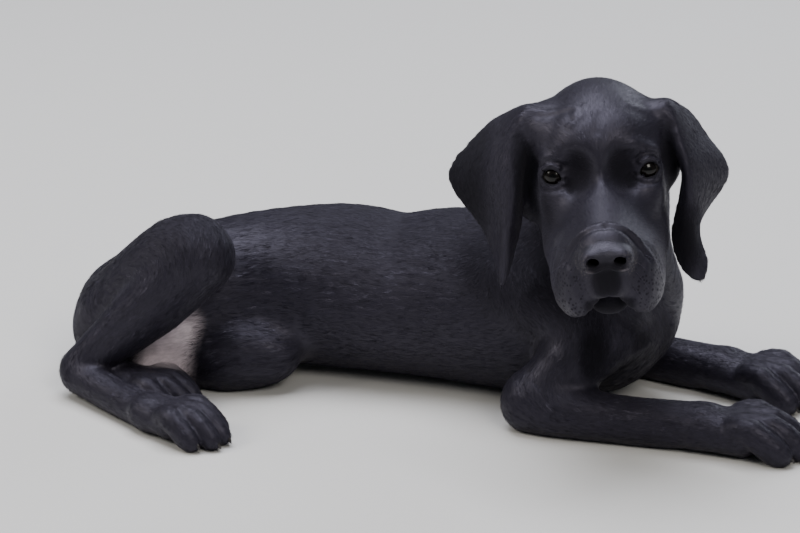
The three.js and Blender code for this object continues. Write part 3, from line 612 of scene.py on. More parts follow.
# The right ear hangs wide of the cheek, and the left one lies folded along it.
EARS = (
    Ear(
        front=((-22, -31, 24), (-20, -40, 28), (-25, -46, 13), (-27, -51, -7), (-27, -56, -36),
               (-19, -67, -68)),
        crease=((-32, -30, 35), (-27, -45.5, 39.5), (-17, -53, 18), (-13, -58, -3), (-11, -63, -33),
                (-15, -70, -72)),
        rear=((-62, -32, 20), (-57, -60, 29.5), (-57, -83, 14), (-60, -99, -10), (-46, -79, -43.5),
              (-21, -71, -67)),
    ),
    Ear(
        front=((-22, 31, 23), (-20, 41, 27), (-26, 47, 11), (-27, 54, -12), (-26, 45, -50),
               (-19, 48.5, -69), (-14, 55.5, -77)),
        crease=((-32, 30, 32), (-26, 46, 36.5), (-17, 53, 12), (-14, 57, -10), (-13, 54.5, -44),
                (-13, 55.5, -70), (-12.5, 58, -78)),
        rear=((-62, 32, 18), (-56, 56, 25), (-54, 71, 5), (-56, 82, -20), (-33, 61, -46),
              (-20, 63.5, -70), (-14, 61, -77)),
    ),
)


@dataclass
class Paw:
    """A paw on the floor: a pad and four toes, at a place and a heading, with its claws."""

    at: tuple[float, float]
    heading: float
    size: float
    toes: Rows = ((-15.5, 42), (-5.5, 52), (5.5, 52), (15.5, 42))
    spread: Triple = (0.8, 1.02, 1.08)

    def place(self, points: Array) -> Array:
        """Put points of a paw in their place.

        Args:
            points: Points of a paw at size 1, heading along X.

        Returns:
            The points in the body's axes.
        """
        angle = math.radians(self.heading)
        c, s = math.cos(angle), math.sin(angle)
        turn = np.array([[c, s, 0], [-s, c, 0], [0, 0, 1.0]])
        return np.asarray(points, float) * self.size @ turn + (*self.at, 0)

    def station(self, x: float, y: float, z: float, wide: float, high: float) -> tuple[float, ...]:
        """Return one station of a toe or pad at this paw's size and place."""
        return (*self.place([x, y, z]), wide * self.size, high * self.size)

    def forms(self) -> list[Tube]:
        """Return the pad and the toes."""
        pad = (self.station(-6, 0, 14, 17, 14), self.station(20, 0, 12.5, 21, 14))
        made = [Tube(pad, 4, Region.PAW, steps=1)]
        root, knuckle, tip = self.spread
        for y, reach in self.toes:
            stations = (
                self.station(16, y * root, 18, 8, 9),
                self.station(reach - 16, y * knuckle, 19, 8.2, 9.5),
                self.station(reach - 2, y * tip, 9.5, 7.8, 9.5),
                self.station(reach + 3, y * tip, 6.5, 6.5, 7.5),
            )
            made.append(Tube(stations, 2.2, Region.PAW))
        return made


PAWS = {
    "foreleg_right": Paw((234, -78), 2, 1.12),
    "foreleg_left": Paw((230, 25), -14, 1.12),
    "hindleg_right": Paw((-132, -142), -20, 0.95),
    "hindleg_left": Paw((-168, -92), -14, 0.92),
}


@dataclass
class Puppy:
    """The whole animal as one distance field, built up from forms."""

    skull: Skull = field(default_factory=Skull)
    ears: tuple[Ear, ...] = EARS

    def __post_init__(self) -> None:
        """Set out the body's forms in the order that they blend."""
        haunch = [
            Ball((-182, -38, 45), (33, 32, 35), 14, Region.HINDLEG),
            Ball((-142, -42, 28), (30, 24, 26), 14, Region.HINDLEG),
            Ball((-195, -50, 34), (27, 28, 28), 10, Region.HINDLEG),
        ]
        flank = Ball((-98, -48, 26), (40, 26, 26), 14)
        nape = Ball((112, -70, 164), (15, 14, 16), 14, Region.NECK)
        self.forms = [
            *self.trunk(), *self.forelegs(), *haunch, flank, nape, *self.hindlegs(), *self.tail(),
        ]

    @staticmethod
    def trunk() -> list[Tube]:
        """Return the torso, neck, throat and dewlap."""
        torso = (
            (-184, -40, 46, 33, 34, 0), (-156, -28, 52, 46, 44, -24), (-108, -6, 57, 50, 52, -16),
            (-45, 8, 59, 57, 58, -6), (0, 10, 57, 59, 56.5, -2), (40, 10, 60, 60, 61, 0),
            (90, 4, 62, 58, 64, 0), (135, -2, 64, 50, 62, 0), (160, -6, 68, 38, 46, 0),
        )
        neck = (
            (92, 2, 86, 46, 42), (128, -8, 120, 43, 41), (146, -34, 150, 40, 40), (150, -62, 172, 40, 42),
        )
        throat = ((158, -72, 140, 24, 22), (169, -51, 108, 27, 27), (170, -27, 76, 31, 30))
        nape = ((171, -32, 158, 23, 22), (171.5, -30, 122, 25, 24), (175, -26, 93, 27, 27))
        dewlap = (
            (166, -96, 120, 8, 9), (177, -84, 100, 7, 9), (180, -66, 82, 7, 9), (176, -50, 66, 8, 9),
        )
        ahead = (1.0, 0.0, 0.0)
        return [
            Tube(torso, 12, Region.TORSO, steps=5, hair=-1.0),
            Tube(neck, 22, Region.NECK, 3, ahead, -1.0),
            Tube(throat, 16, Region.NECK, 3, ahead),
            Tube(nape, 14, Region.NECK, 3, ahead, -1.0),
            Tube(dewlap, 10, Region.NECK, 3, ahead),
        ]

    @staticmethod
    def limb(lengths: Sequence[tuple[Rows, float]], region: Region, paw: str) -> list[Tube]:
        """Return a limb's lengths, each given with its blend, and then its paw."""
        return [Tube(rows, blend, region) for rows, blend in lengths] + PAWS[paw].forms()

    @staticmethod
    def forelegs() -> list[Tube]:
        """Return both forelegs from the shoulder blade down."""
        right = (
            (((66, -26, 94, 12, 10), (110, -43, 85, 24, 22), (150, -46, 66, 25, 24)), 16),
            (((150, -48, 62, 24, 25), (134, -62, 42, 22, 24), (116, -70, 24, 19, 21)), 12),
            (((110, -74, 19, 20, 21), (130, -77, 18, 20, 20), (168, -79, 15.5, 17, 17),
              (205, -79, 15.5, 17, 17), (230, -78, 17, 18.5, 15.5)), 8),
        )
        left = (
            (((66, 30, 94, 12, 10), (110, 43, 85, 24, 22), (148, 36, 68, 26, 24)), 16),
            (((148, 38, 62, 25, 25), (132, 52, 42, 23, 24), (112, 58, 24, 19, 21)), 12),
            (((106, 60, 19, 20, 21), (126, 55, 18, 20, 20), (162, 44, 15.5, 17, 17),
              (200, 32, 15.5, 17, 17), (226, 26, 17, 18.5, 15.5)), 8),
        )
        return [
            *Puppy.limb(right, Region.FORELEG, "foreleg_right"),
            *Puppy.limb(left, Region.FORELEG, "foreleg_left"),
        ]

    @staticmethod
    def hindlegs() -> list[Tube]:
        """Return both hind legs from the thigh down."""
        right = (
            (((-188, -52, 50, 28, 28), (-161, -62, 77, 27, 29), (-139, -70, 99, 26, 27.5),
              (-125, -75, 106, 25, 26)), 6),
            (((-120, -78, 103, 24, 25), (-150, -86, 70, 19, 23), (-184, -92, 38, 14, 17),
              (-202, -96, 20, 12.5, 15)), 6),
            (((-202, -97, 16, 13.5, 14), (-166, -122, 12, 12.5, 12.5), (-132, -142, 11, 15, 12.5)), 5),
        )
        left = (
            (((-176, -8, 34, 32, 32), (-140, -32, 28, 28, 26), (-110, -54, 22, 20, 19)), 18),
            (((-112, -56, 16, 16, 17), (-152, -62, 14, 14, 15), (-190, -66, 12.5, 12.5, 13.5)), 6),
            (((-190, -67, 11.5, 12.5, 12.5), (-178, -84, 10.5, 12, 11.5), (-166, -93, 10, 14, 11)), 5),
        )
        return [
            *Puppy.limb(right, Region.HINDLEG, "hindleg_right"),
            *Puppy.limb(left, Region.HINDLEG, "hindleg_left"),
        ]

    @staticmethod
    def tail() -> list[Tube]:
        """Return the tail, laid on the floor behind the rump."""
        rows = (
            (-192, -28, 42, 15, 14), (-216, 4, 21, 11, 11), (-222, 45, 9.5, 10, 10),
            (-204, 85, 7.5, 8, 8), (-165, 110, 6, 6.5, 6.5), (-120, 118, 4, 4.5, 4.5),
        )
        return [Tube(rows, 10, Region.TAIL, steps=3)]

    def distance(self, points: Array) -> Array:
        """Distance to the skin, which lies inside the coat and stops at the floor.

        Args:
            points: Points in the body's axes.

        Returns:
            A distance for each point, negative inside.
        """
        best = np.full(len(points), FAR)
        for form in self.forms:
            lo, hi = form.box()
            near = np.all((points > lo) & (points < hi), axis=1)
            if near.any():
                best[near] = smooth_union(best[near], form.distance(points[near]), form.blend)
        near = np.abs(points - HEAD.at).max(1) < self.skull.reach
        if near.any():
            local = HEAD.inward(points[near])
            part = smooth_union(best[near], self.skull.distance(local), self.skull.blend)
            for ear in self.ears:
                part = smooth_union(part, ear.distance(local), ear.blend)
            best[near] = self.skull.dress(local, part + COAT_DEPTH)
            best[~near] += COAT_DEPTH
        else:
            best += COAT_DEPTH
        return np.maximum(best, -points[:, 2])

    def hair(self, points: Array) -> tuple[Array, Array]:
        """The way the hair lies and the region that it belongs to.

        Each form's own direction counts by a factor e for every so many millimetres that it is
        nearer than the next. An ear counts as a little nearer than it is.

        Args:
            points: Points on the skin, in the body's axes.

        Returns:
            The directions, and the number of each point's region.
        """
        fade, ear_lead = 8.0, 1.0
        local = HEAD.inward(points)
        flows = [form.flow(points) for form in self.forms]
        flows.append(HEAD.turn_out(self.skull.flow(local)))
        flows += [HEAD.turn_out(ear.flow(local)) for ear in self.ears]
        apart = [form.distance(points) for form in self.forms]
        apart.append(self.skull.distance(local))
        apart += [ear.distance(local) - ear_lead for ear in self.ears]
        regions = [form.region.value for form in self.forms]
        regions += [Region.HEAD.value] + [Region.EAR.value] * len(self.ears)
        gap = np.stack(apart)
        weight = np.exp(-(gap - gap.min(0)) / fade)
        flow = sum(w[:, None] * unit(f) for w, f in zip(weight, flows))
        return flow, np.array(regions)[gap.argmin(0)]


@dataclass
class Net:
    """A surface net on a warped grid, finest at the face.

    A grid point q lies at the middle plus q times (step + growth times q squared). Grid points
    far from the surface only need its sign, and hold that times a distance.
    """

    step: float = 2.25
    growth: float = 4.0e-5
    lo: Triple = (-236.0, -192.0, -3.0)
    hi: Triple = (306.0, 134.0, 256.0)
    middle: Triple = (-5.0, 0.0, -20.0)
    block: int = 8
    reach: float = 0.9
    distant: float = 50.0
    batch: int = 200000

    def place(self, q: Array) -> Array:
        """Return where grid points lie, in the body's axes."""
        square = (q * q).sum(-1, keepdims=True)
        return HEAD.outward(self.middle) + q * (self.step + self.growth * square)

    def corner(self) -> tuple[Array, Array]:
        """Find the lowest grid corner and the number of blocks that cover the box.

        The warp is undone by Newton's method on the distance from the middle.

        Returns:
            The corner and the counts.
        """
        g = np.linspace(0, 1, 12)
        cube = np.array(np.meshgrid(g, g, g, indexing="ij")).reshape(3, -1).T
        offset = cube * (np.array(self.hi) - self.lo) + self.lo - HEAD.outward(self.middle)
        far = np.linalg.norm(offset, axis=1)
        q = far / self.step
        for _ in range(30):
            q -= (self.step * q + self.growth * q**3 - far) / (self.step + 3 * self.growth * q * q)
        spots = offset / far[:, None] * q[:, None]
        low = np.floor(spots.min(0)).astype(int) - 2
        return low, np.ceil((spots.max(0) + 2 - low) / self.block).astype(int)

    def lattice(self, count: Array) -> Array:
        """Return every whole-number point below the counts, as rows."""
        return np.array(np.meshgrid(*[np.arange(n) for n in count], indexing="ij")).reshape(3, -1).T

    def values(self, body: Puppy) -> tuple[Array, Array]:
        """Sample the field near the surface only.

        Blocks and then half blocks whose middle is too far from the surface keep its sign.

        Args:
            body: The animal.

        Returns:
            The value at each grid point, and the lowest grid corner.
        """
        low, count = self.corner()
        half = self.block // 2
        whole = self.lattice(count)
        middle = (whole + 0.5) * self.block + low
        apart = body.distance(self.place(middle))
        grow = self.step + 3 * self.growth * (middle**2).sum(1)
        signs = np.where(apart < 0, -1.0, 1.0).reshape(count)
        signs = signs.repeat(2, 0).repeat(2, 1).repeat(2, 2)
        near = whole[np.abs(apart) < grow * self.block * self.reach + 6]
        parts = (near[:, None] * 2 + self.lattice((2, 2, 2))[None]).reshape(-1, 3)
        middle = (parts + 0.5) * half + low
        apart = body.distance(self.place(middle))
        grow = self.step + 3 * self.growth * (middle**2).sum(1)
        signs[tuple(parts.T)] = np.where(apart < 0, -1.0, 1.0)
        value = np.full(count * self.block + 1, self.distant, np.float32)
        value[:-1, :-1, :-1] = self.distant * signs.repeat(half, 0).repeat(half, 1).repeat(half, 2)
        parts = parts[np.abs(apart) < grow * half * self.reach + 5]
        spots = (parts[:, None] * half + self.lattice([half + 1] * 3)[None]).reshape(-1, 3)
        once = np.unique(np.ravel_multi_index(spots.T, value.shape))
        spots = np.stack(np.unravel_index(once, value.shape), 1)
        for start in range(0, len(spots), self.batch):
            part = spots[start:start + self.batch]
            value[tuple(part.T)] = body.distance(self.place(part + low))
        return value, low

    def build(self, body: Puppy) -> tuple[Array, Array]:
        """Make the net: a corner in each crossed cell at the mean of its edges' crossings.

        Each grid edge that crosses the surface gives one quad between its four cells.

        Args:
            body: The animal.

        Returns:
            Points in the body's axes and quads of their indices.
        """
        value, low = self.values(body)
        inside = value < 0
        shape = np.array(value.shape) - 1
        corners = self.lattice((2, 2, 2))
        count = sum(
            inside[a:a + shape[0], b:b + shape[1], c:c + shape[2]].astype(np.int8) for a, b, c in corners
        )
        cells = np.argwhere((count > 0) & (count < 8))
        ids = np.full(tuple(shape), -1, np.int32)
        ids[tuple(cells.T)] = np.arange(len(cells))
        total, crossings = np.zeros((len(cells), 3)), np.zeros(len(cells))
        for axis in range(3):
            for start in corners[corners[:, axis] == 0]:
                step = np.eye(3, dtype=int)[axis]
                a = value[tuple((cells + start).T)]
                b = value[tuple((cells + start + step).T)]
                crossed = (a < 0) != (b < 0)
                t = np.clip(a / np.where(a == b, 1, a - b), 0, 1)[:, None]
                total[crossed] += (cells + start + t * step)[crossed]
                crossings[crossed] += 1
        points = self.place(total / crossings[:, None] + low)
        return points, np.concatenate([self.quads(inside, ids, axis) for axis in range(3)])

    @staticmethod
    def quads(inside: Array, ids: Array, axis: int) -> Array:
        """Make the quads round the crossed grid edges that run along one axis.

        Args:
            inside: Which grid points are inside.
            ids: The number of each crossed cell's corner.
            axis: The axis.

        Returns:
            Rows of four corner numbers.
        """
        ends = [slice(None)] * 3
        ends[axis] = slice(0, -1)
        starts = [slice(None)] * 3
        starts[axis] = slice(1, None)
        edges = np.argwhere(inside[tuple(ends)] != inside[tuple(starts)])
        u, v = (axis + 1) % 3, (axis + 2) % 3
        limit = np.array(ids.shape)
        edges = edges[(edges[:, u] > 0) & (edges[:, v] > 0) & (edges < limit).all(1)]
        du, dv = np.eye(3, dtype=int)[u], np.eye(3, dtype=int)[v]
        around = (edges - du - dv, edges - dv, edges, edges - du)
        quads = np.stack([ids[tuple(e.T)] for e in around], 1)
        flip = ~inside[tuple(edges.T)]
        quads[flip] = quads[flip][:, ::-1]
        return quads


def settle(body: Puppy, points: Array, rounds: int = 2) -> Array:
    """Move points onto the skin by Newton steps down the field's slope, each kept short.

    Args:
        body: The animal.
        points: Points close to its skin.
        rounds: How many steps.

    Returns:
        The moved points.
    """
    reach, longest, flattest = 0.25, 1.5, 0.05
    for _ in range(rounds):
        slope = np.stack([
            body.distance(points + e) - body.distance(points - e) for e in np.eye(3) * reach
        ], 1) / (2 * reach)
        steepness = np.maximum((slope**2).sum(1), flattest)
        step = -body.distance(points)[:, None] * slope / steepness[:, None]
        size = np.linalg.norm(step, axis=1, keepdims=True)
        points = points + step * np.minimum(1, longest / np.maximum(size, 1e-9))
    return points


def to_row(points: Array) -> Array:
    """Return points in the body's axes as metres in the row's frame."""
    return (points - FOOTPRINT_MIDDLE) * MM


@dataclass(frozen=True)
class Crease:
    """A fold in the skin along a path in the head's axes, with a soft roll on either side.

    Depth is positive for a furrow and negative for a ridge.
    """

    path: Rows
    depth: float
    width: float
    roll: float = 0.35
    mirrored: bool = True

    def samples(self, points: Array) -> list[Array]:
        """Find the fold's points on the skin: those nearest to a spline, their line smoothed.

        Args:
            points: The skin's points in the body's axes.

        Returns:
            One line of points for each side.
        """
        steps, rounds = 12, 12
        local = HEAD.inward(points)
        made = []
        for side in (1, -1) if self.mirrored else (1,):
            path = spline(np.array(self.path, float) * (1, side, 1), steps).astype(np.float32)
            which = Ear.nearest(path, local.astype(np.float32))[1]
            line = points[which]
            for _ in range(rounds):
                line[1:-1] = (line[:-2] + 2 * line[1:-1] + line[2:]) / 4
            made.append(line)
        return made

    def shift(self, points: Array) -> Array:
        """How far the skin moves outwards.

        A bell curve of the distance from the fold, with a wider, weaker one for its rolls.

        Args:
            points: The skin's points in the body's axes.

        Returns:
            One shift for each point.
        """
        out = np.zeros(len(points))
        reach = 6 * self.width
        for line in self.samples(points):
            lo, hi = line.min(0) - reach, line.max(0) + reach
            near = np.flatnonzero(np.all((points > lo) & (points < hi), axis=1))
            apart = Ear.nearest(points[near].astype(np.float32), line.astype(np.float32))[0] / self.width
            bell = np.exp(-(apart**2)) - self.roll * np.exp(-((apart - 2.0) ** 2))
            out[near] -= self.depth * bell
        return out


CREASES = (
    # The rolls of the lids and the folds behind them.
    Crease(((0.5, 26.5, 6.2), (0.5, 31.5, 8.3), (-1.5, 36.3, 5.6)), -1.9, 1.7, 0.0),
    Crease(((2, 22.5, 7), (2, 28, 11), (-1, 34.5, 11), (-4, 39.5, 6)), 0.9, 1.7, 0.3),
    Crease(((1, 24.5, -5), (1, 30, -7), (-1, 35.5, -6.2)), -0.6, 1.2, 0.0),
    Crease(((2, 22, -7), (2.5, 27, -9.9), (0, 33, -9.9), (-4, 38, -6)), 0.6, 1.5, 0.3),
    # The groove from the inner corner of the eye, and a small fold beside it.
    Crease(((1, 22, -2), (3.5, 19.5, -5), (5.5, 18, -10)), 0.9, 1.3),
    Crease(((4, 21, -9), (5, 21.5, -13)), 0.5, 1.3),
    # The brows, one higher than the other.
    Crease(((6, 15, 16), (5, 22.6, 19), (0, 33, 15.6), (-5, 40, 9)), -0.9, 3.0, 0.5, False),
    Crease(((4, -20, 11.7), (0, -30.6, 11.5), (-5, -38.5, 8.5)), -0.7, 2.6, 0.5, False),
    # The folds from the ears across the forehead, which hook down, and the furrow in its middle.
    Crease(((-24, -39.4, 38), (-16, -31, 42.6), (-12, -23, 47), (-10, -17.5, 48.6), (-6, -13, 45.5),
            (-3, -14, 41)), -0.8, 2.2, 0.2, False),
    Crease(((-19, -37, 36), (-11, -27, 42), (-7, -20, 44)), 0.4, 2.6, 0.0, False),
    Crease(((-7, -8, 48), (-3, -8, 44.5), (0, -12, 39.5), (2, -18, 35)), -0.6, 2.0, 0.2, False),
    Crease(((0, 3, 40), (2, 1.5, 34.5), (5, 0, 28.7)), 0.7, 3.2, 0.1, False),
    Crease(((-12, 23.5, 46), (-14, 33, 41.6), (-18, 41.5, 36), (-20, 46.7, 28.4)), -0.7, 2.8, 0.3, False),
    # The folds down the cheeks onto the lips.
    Crease(((50, 26, -36), (44, 29, -48), (38, 33, -60), (32, 36, -73)), 0.5, 3.0, 0.3),
    Crease(((34, 30, -42), (33, 32.5, -57), (30, 37, -74)), 0.5, 3.0, 0.3),
    # The fold over the nose and down its sides, with a groove inside it.
    Crease(((49, 24.5, -52), (52, 24.5, -39), (55, 20.5, -28.5), (57, 11, -22.5), (57.5, 0, -20.5)),
           -0.9, 1.4, 0.0),
    Crease(((52, 22, -48), (55, 21.5, -37), (58.5, 16.5, -28.5), (60, 8, -24.5), (60.5, 0, -23.5)),
           0.8, 1.6, 0.0),
    # The rims below the nostrils.
    Crease(((74, 4, -44.5), (74, 9.5, -45.2), (73, 14.5, -43.8)), -0.6, 1.1, 0.0),
)


@dataclass(frozen=True)
class Spot:
    """A soft spot on the skin: its power at its middle and 0 beyond its radii.

    It lies in the head's axes, or in the body's.
    """

    at: Triple
    radii: Triple
    power: float = 1.0
    on_head: bool = True

    def mask(self, points: Array) -> Array:
        """Work out the spot's share at each point: one less the level, eased at both ends.

        Args:
            points: Points in the body's axes.

        Returns:
            A share for each point.
        """
        places = HEAD.inward(points) if self.on_head else points
        level = np.sqrt((((places - self.at) / self.radii) ** 2).sum(1))
        t = np.clip(1.5 - 1.5 * level, 0, 1)
        return t * t * (3 - 2 * t) * self.power


def both_sides(*spots: Spot) -> tuple[Spot, ...]:
    """Return the spots and their mirror images across the head."""
    return spots + tuple(replace(spot, at=(spot.at[0], -spot.at[1], spot.at[2])) for spot in spots)


# Where the coat thins out to greyish skin: the groin, the belly beside it and the inside of the
# thigh. The faint spots on the rims below the nostrils are a painted highlight, where light
# catches them.
BARE_AND_HIGHLIGHT = (
    Spot((-148, -60, 24), (27, 36, 40), 1.5, False), Spot((-134, -56, 44), (17, 26, 24), 0.9, False),
    Spot((-152, -76, 8), (24, 20, 18), 0.9, False),
    # Painted highlight: the rims below the nostrils lightened where light catches them.
    *both_sides(Spot((74, 9, -45.6), (5, 6.5, 1.8), 0.16)),
)
# Painted shade: the coat is darkened and dulled where shade falls, round the eyes and nostrils,
# on lips, chin and ears, under the jaw, and on the neck, both sides of the dewlap, the shoulder,
# back and raised knee.
PAINTED_SHADE = (
    *both_sides(
        Spot((8, 14, 3), (16, 12, 20), 0.7), Spot((2, 20, -7), (7, 6, 8), 0.5),
        Spot((-24, 46, -2), (16, 10, 36), 0.9), Spot((48, 9, -76), (20, 16, 12), 0.8),
        Spot((80, 9, -42), (9, 8, 6), 0.5),
    ),
    Spot((-20, 51, -50), (20, 17, 38), 1.3), Spot((30, 0, -95), (40, 40, 24), 0.7),
    Spot((78, 0, -45), (10, 16, 7), 0.5), Spot((72, -1, -53), (16, 13, 22), 0.9),
    *both_sides(Spot((60, 11, -70), (9, 9, 7), 0.7), Spot((50, 20, -82), (12, 10, 8), 0.6)),
    Spot((-48, -86, -4), (32, 40, 66), 1.0), Spot((-16, -52, -10), (12, 9, 60), 0.9),
    Spot((-4, -40, -25), (26, 18, 36), 0.5), Spot((44, 0, -80), (22, 20, 16), 0.6),
    Spot((150, -70, 120), (60, 60, 70), 0.5, False), Spot((95, -50, 110), (70, 50, 60), 0.4, False),
    Spot((154, -74, 58), (14, 16, 26), 0.9, False), Spot((184, -60, 62), (9, 14, 22), 0.8, False),
    Spot((10, 0, 120), (150, 90, 70), 0.3, False), Spot((-125, -75, 125), (40, 40, 40), 0.3, False),
)
# Where the roots of whiskers dot the lips.
DOTTED = both_sides(Spot((48, 24, -60), (30, 18, 30), 1.5))
# Where the skin keeps its finest forms and isn't evened: the head without its ears, and the paws.
KEPT = (Spot((10, 0, -20), (150, 46, 130), 4.0), *(
    Spot((x, y, 10), (80, 60, 40), 4.0, False)
    for x, y in ((262, -78), (256, 18), (-106, -152), (-142, -100))
))
# Where it is evened by half: the ears, whose rims would wear away.
HALF_KEPT = both_sides(Spot((-34, 62, -20), (70, 66, 100), 4.0))


def split(points: Array, faces: Array, wanted: Array) -> tuple[Array, Array]:
    """Split triangles in four at the middles of their edges.

    Their neighbours are split in two or three, so that no edge is left open.

    Args:
        points: The mesh's points.
        faces: Its triangles.
        wanted: True for each triangle to split.

    Returns:
        The points with the new ones at their end, and the triangles.
    """
    edges = np.sort(faces[:, [[0, 1], [1, 2], [2, 0]]], axis=-1)
    key = edges[..., 0] * len(points) + edges[..., 1]
    marked = np.unique(key[wanted])
    hit = np.isin(key, marked)
    middle = np.searchsorted(marked, key) + len(points)
    more = (points[marked // len(points)] + points[marked % len(points)]) / 2
    count = hit.sum(1)
    # Each triangle is turned until its first edges are the ones that are split.
    turn = np.where(count == 2, (hit.argmin(1) + 1) % 3, hit.argmax(1))
    order = (np.arange(3) + turn[:, None]) % 3
    a, b, c = np.take_along_axis(faces, order, 1).T
    m, n, o = np.take_along_axis(middle, order, 1).T
    pieces = [faces[count == 0]]
    for cuts, parts in (
        (1, ((a, m, c), (m, b, c))),
        (2, ((m, b, n), (a, m, n), (a, n, c))),
        (3, ((a, m, o), (m, b, n), (o, n, c), (m, n, o))),
    ):
        pieces += [np.stack(part, 1)[count == cuts] for part in parts]
    return np.concatenate([points, more]), np.concatenate(pieces)


@dataclass(frozen=True)
class Detail:
    """A ball of space where the skin's triangles are split."""

    at: Triple
    radius: float
    on_head: bool = True

    def wanted(self, points: Array, faces: Array) -> Array:
        """Return which triangles have their first point inside."""
        places = HEAD.inward(points) if self.on_head else points
        return np.linalg.norm(places[faces[:, 0]] - self.at, axis=1) < self.radius


# The eyes twice over, the nose, the mouth, the forehead, the paws and the raised knee.
DETAILS = (
    Detail((-3, 29.4, -0.6), 16), Detail((1, 30, -0.6), 11.5), Detail((-3, -29.4, -0.6), 16),
    Detail((1, -30, -0.6), 11.5), Detail((70, 0, -40), 27), Detail((58, 0, -72), 20),
    Detail((-4, -8, 42), 27), Detail((285, -78, 12), 36, False), Detail((280, 12, 12), 36, False),
    Detail((-92, -156, 10), 26, False), Detail((-130, -102, 10), 24, False),
    Detail((-130, -72, 112), 36, False),
)


@dataclass
class Skin:
    """The skin as a mesh, with its normals, the lie of its hair, its regions and its masks.

    The masks say how leathery, flaky, bare or dotted the skin is at each point, where a
    painted highlight lightens it below the nostrils, and where painted shade or the lids' dark
    rims darken it.
    """

    body: Puppy
    net: Net
    half_kept: float = 0.5
    rim_darkening: float = 0.55

    def build(self) -> None:
        """Make the net, settle it on the skin, fold it and work out what the coat needs."""
        points = self.triangles(*self.net.build(self.body))
        loose = 1 - self.share(KEPT, points)
        points = self.evened(points, loose * (1 - self.half_kept * self.share(HALF_KEPT, points)))
        normals = self.normals_of(points)
        folded = sum(crease.shift(points) for crease in CREASES)
        self.points = points + normals * folded[:, None]
        self.points[:, 2] = np.maximum(self.points[:, 2], 0)
        self.normals = self.normals_of(self.points)
        flow, self.region = self.body.hair(self.points)
        self.lie = self.combed(flow)
        self.local = HEAD.inward(self.points)
        rims = self.rims(self.local)
        self.leather = np.maximum(self.body.skull.nose.pad(self.local), rims)
        self.chafed = self.body.skull.nose.chafed(self.local)
        # The bare mask also holds a painted highlight on the rims below the nostrils.
        self.bare_and_highlight, self.dotted = (self.share(spots, self.points) for spots in (BARE_AND_HIGHLIGHT, DOTTED))
        # Painted shade: the coat darkened where shade falls, with the lids' rims darkened as well.
        self.painted_shade_and_dark_skin = np.maximum(self.share(PAINTED_SHADE, self.points), self.rim_darkening * rims)

    @staticmethod
    def share(spots: Sequence[Spot], points: Array) -> Array:
        """Return how much of some spots, taken together, covers each point."""
        return np.clip(sum(spot.mask(points) for spot in spots), 0, 1)

    def evened(self, points: Array, weight: Array, rounds: int = 16) -> Array:
        """Even out the creases between the lengths of the tubes.

        Each round moves points towards their neighbours' mean and then a little further back,
        which keeps the size: Taubin's smoothing.

        Args:
            points: The mesh's points.
            weight: How much each point may move.
            rounds: How many rounds.

        Returns:
            The moved points.
        """
        there, back = 0.5, -0.53
        starts, ends = self.faces[:, [0, 1, 2]].ravel(), self.faces[:, [1, 2, 0]].ravel()
        degree = np.bincount(starts, minlength=len(points))[:, None]
        for step in (there, back) * rounds:
            mean = self.gathered(points[ends], starts, len(points)) / degree
            points = points + (mean - points) * weight[:, None] * step
        return points

    def triangles(self, points: Array, quads: Array) -> Array:
        """Cut the net's quads along their shorter diagonals and refine it where it shows detail.

        Args:
            points: The net's points.
            quads: Its quads.

        Returns:
            The points, settled on the skin.
        """
        points = settle(self.body, points)
        a, b, c, d = (points[quads[:, i]] for i in range(4))
        other = (np.linalg.norm(c - a, axis=1) > np.linalg.norm(d - b, axis=1))[:, None]
        quads = np.where(other, quads[:, [1, 2, 3, 0]], quads)
        self.faces = np.concatenate([quads[:, [0, 1, 2]], quads[:, [0, 2, 3]]]).astype(np.int64)
        for detail in DETAILS:
            count = len(points)
            points, self.faces = split(points, self.faces, detail.wanted(points, self.faces))
            points[count:] = settle(self.body, points[count:])
        return points

    def normals_of(self, points: Array) -> Array:
        """Point normals: the mean of the crossed edges of the triangles round each point.

        Args:
            points: The mesh's points.

        Returns:
            Unit vectors outwards.
        """
        a, b, c = (points[self.faces[:, i]] for i in range(3))
        face = np.repeat(np.cross(b - a, c - a)[:, None], 3, 1).reshape(-1, 3)
        return unit(self.gathered(face, self.faces.ravel(), len(points)))

    @staticmethod
    def gathered(values: Array, where: Array, count: int) -> Array:
        """Return the sum of the values that share an index."""
        return np.stack([np.bincount(where, values[:, i], count) for i in range(values.shape[1])], 1)

    def combed(self, flow: Array, rounds: int = 12) -> Array:
        """Lay the hair's directions along the skin and even them out.

        Each round takes the mean of a point's neighbours and drops what points off the skin.

        Args:
            flow: A rough direction at each point.
            rounds: How often the mean is taken.

        Returns:
            Unit vectors along the skin.
        """
        edges = np.concatenate([self.faces[:, [i, (i + 1) % 3]] for i in range(3)])
        for _ in range(rounds):
            flow = flow - (flow * self.normals).sum(1, keepdims=True) * self.normals
            flow = unit(flow)
            total = self.gathered(flow[edges[:, 1]], edges[:, 0], len(flow))
            total += self.gathered(flow[edges[:, 0]], edges[:, 1], len(flow))
            flow = flow + total
        return unit(flow - (flow * self.normals).sum(1, keepdims=True) * self.normals)

    def rims(self, local: Array) -> Array:
        """Mark the bare rims of the lids.

        Args:
            local: Points in the head's axes.

        Returns:
            1 on a rim, fading to 0 off it.
        """
        rim = np.zeros(len(local))
        for eye in self.body.skull.eyes:
            seen = (local - eye.middle) @ eye.axes().T
            near = (np.linalg.norm(seen, axis=1) < eye.swell + 2) & (seen[:, 0] > 0)
            rim[near] = np.clip(1.6 - eye.slit(seen[near]), 0, 1)
        return rim

    def face_directions(self) -> Array:
        """Return which of six ways each face looks: twice its main axis, plus one if backwards."""
        normal = self.normals[self.faces].mean(1)
        axis = np.abs(normal).argmax(1)
        return axis * 2 + (normal[np.arange(len(axis)), axis] < 0)

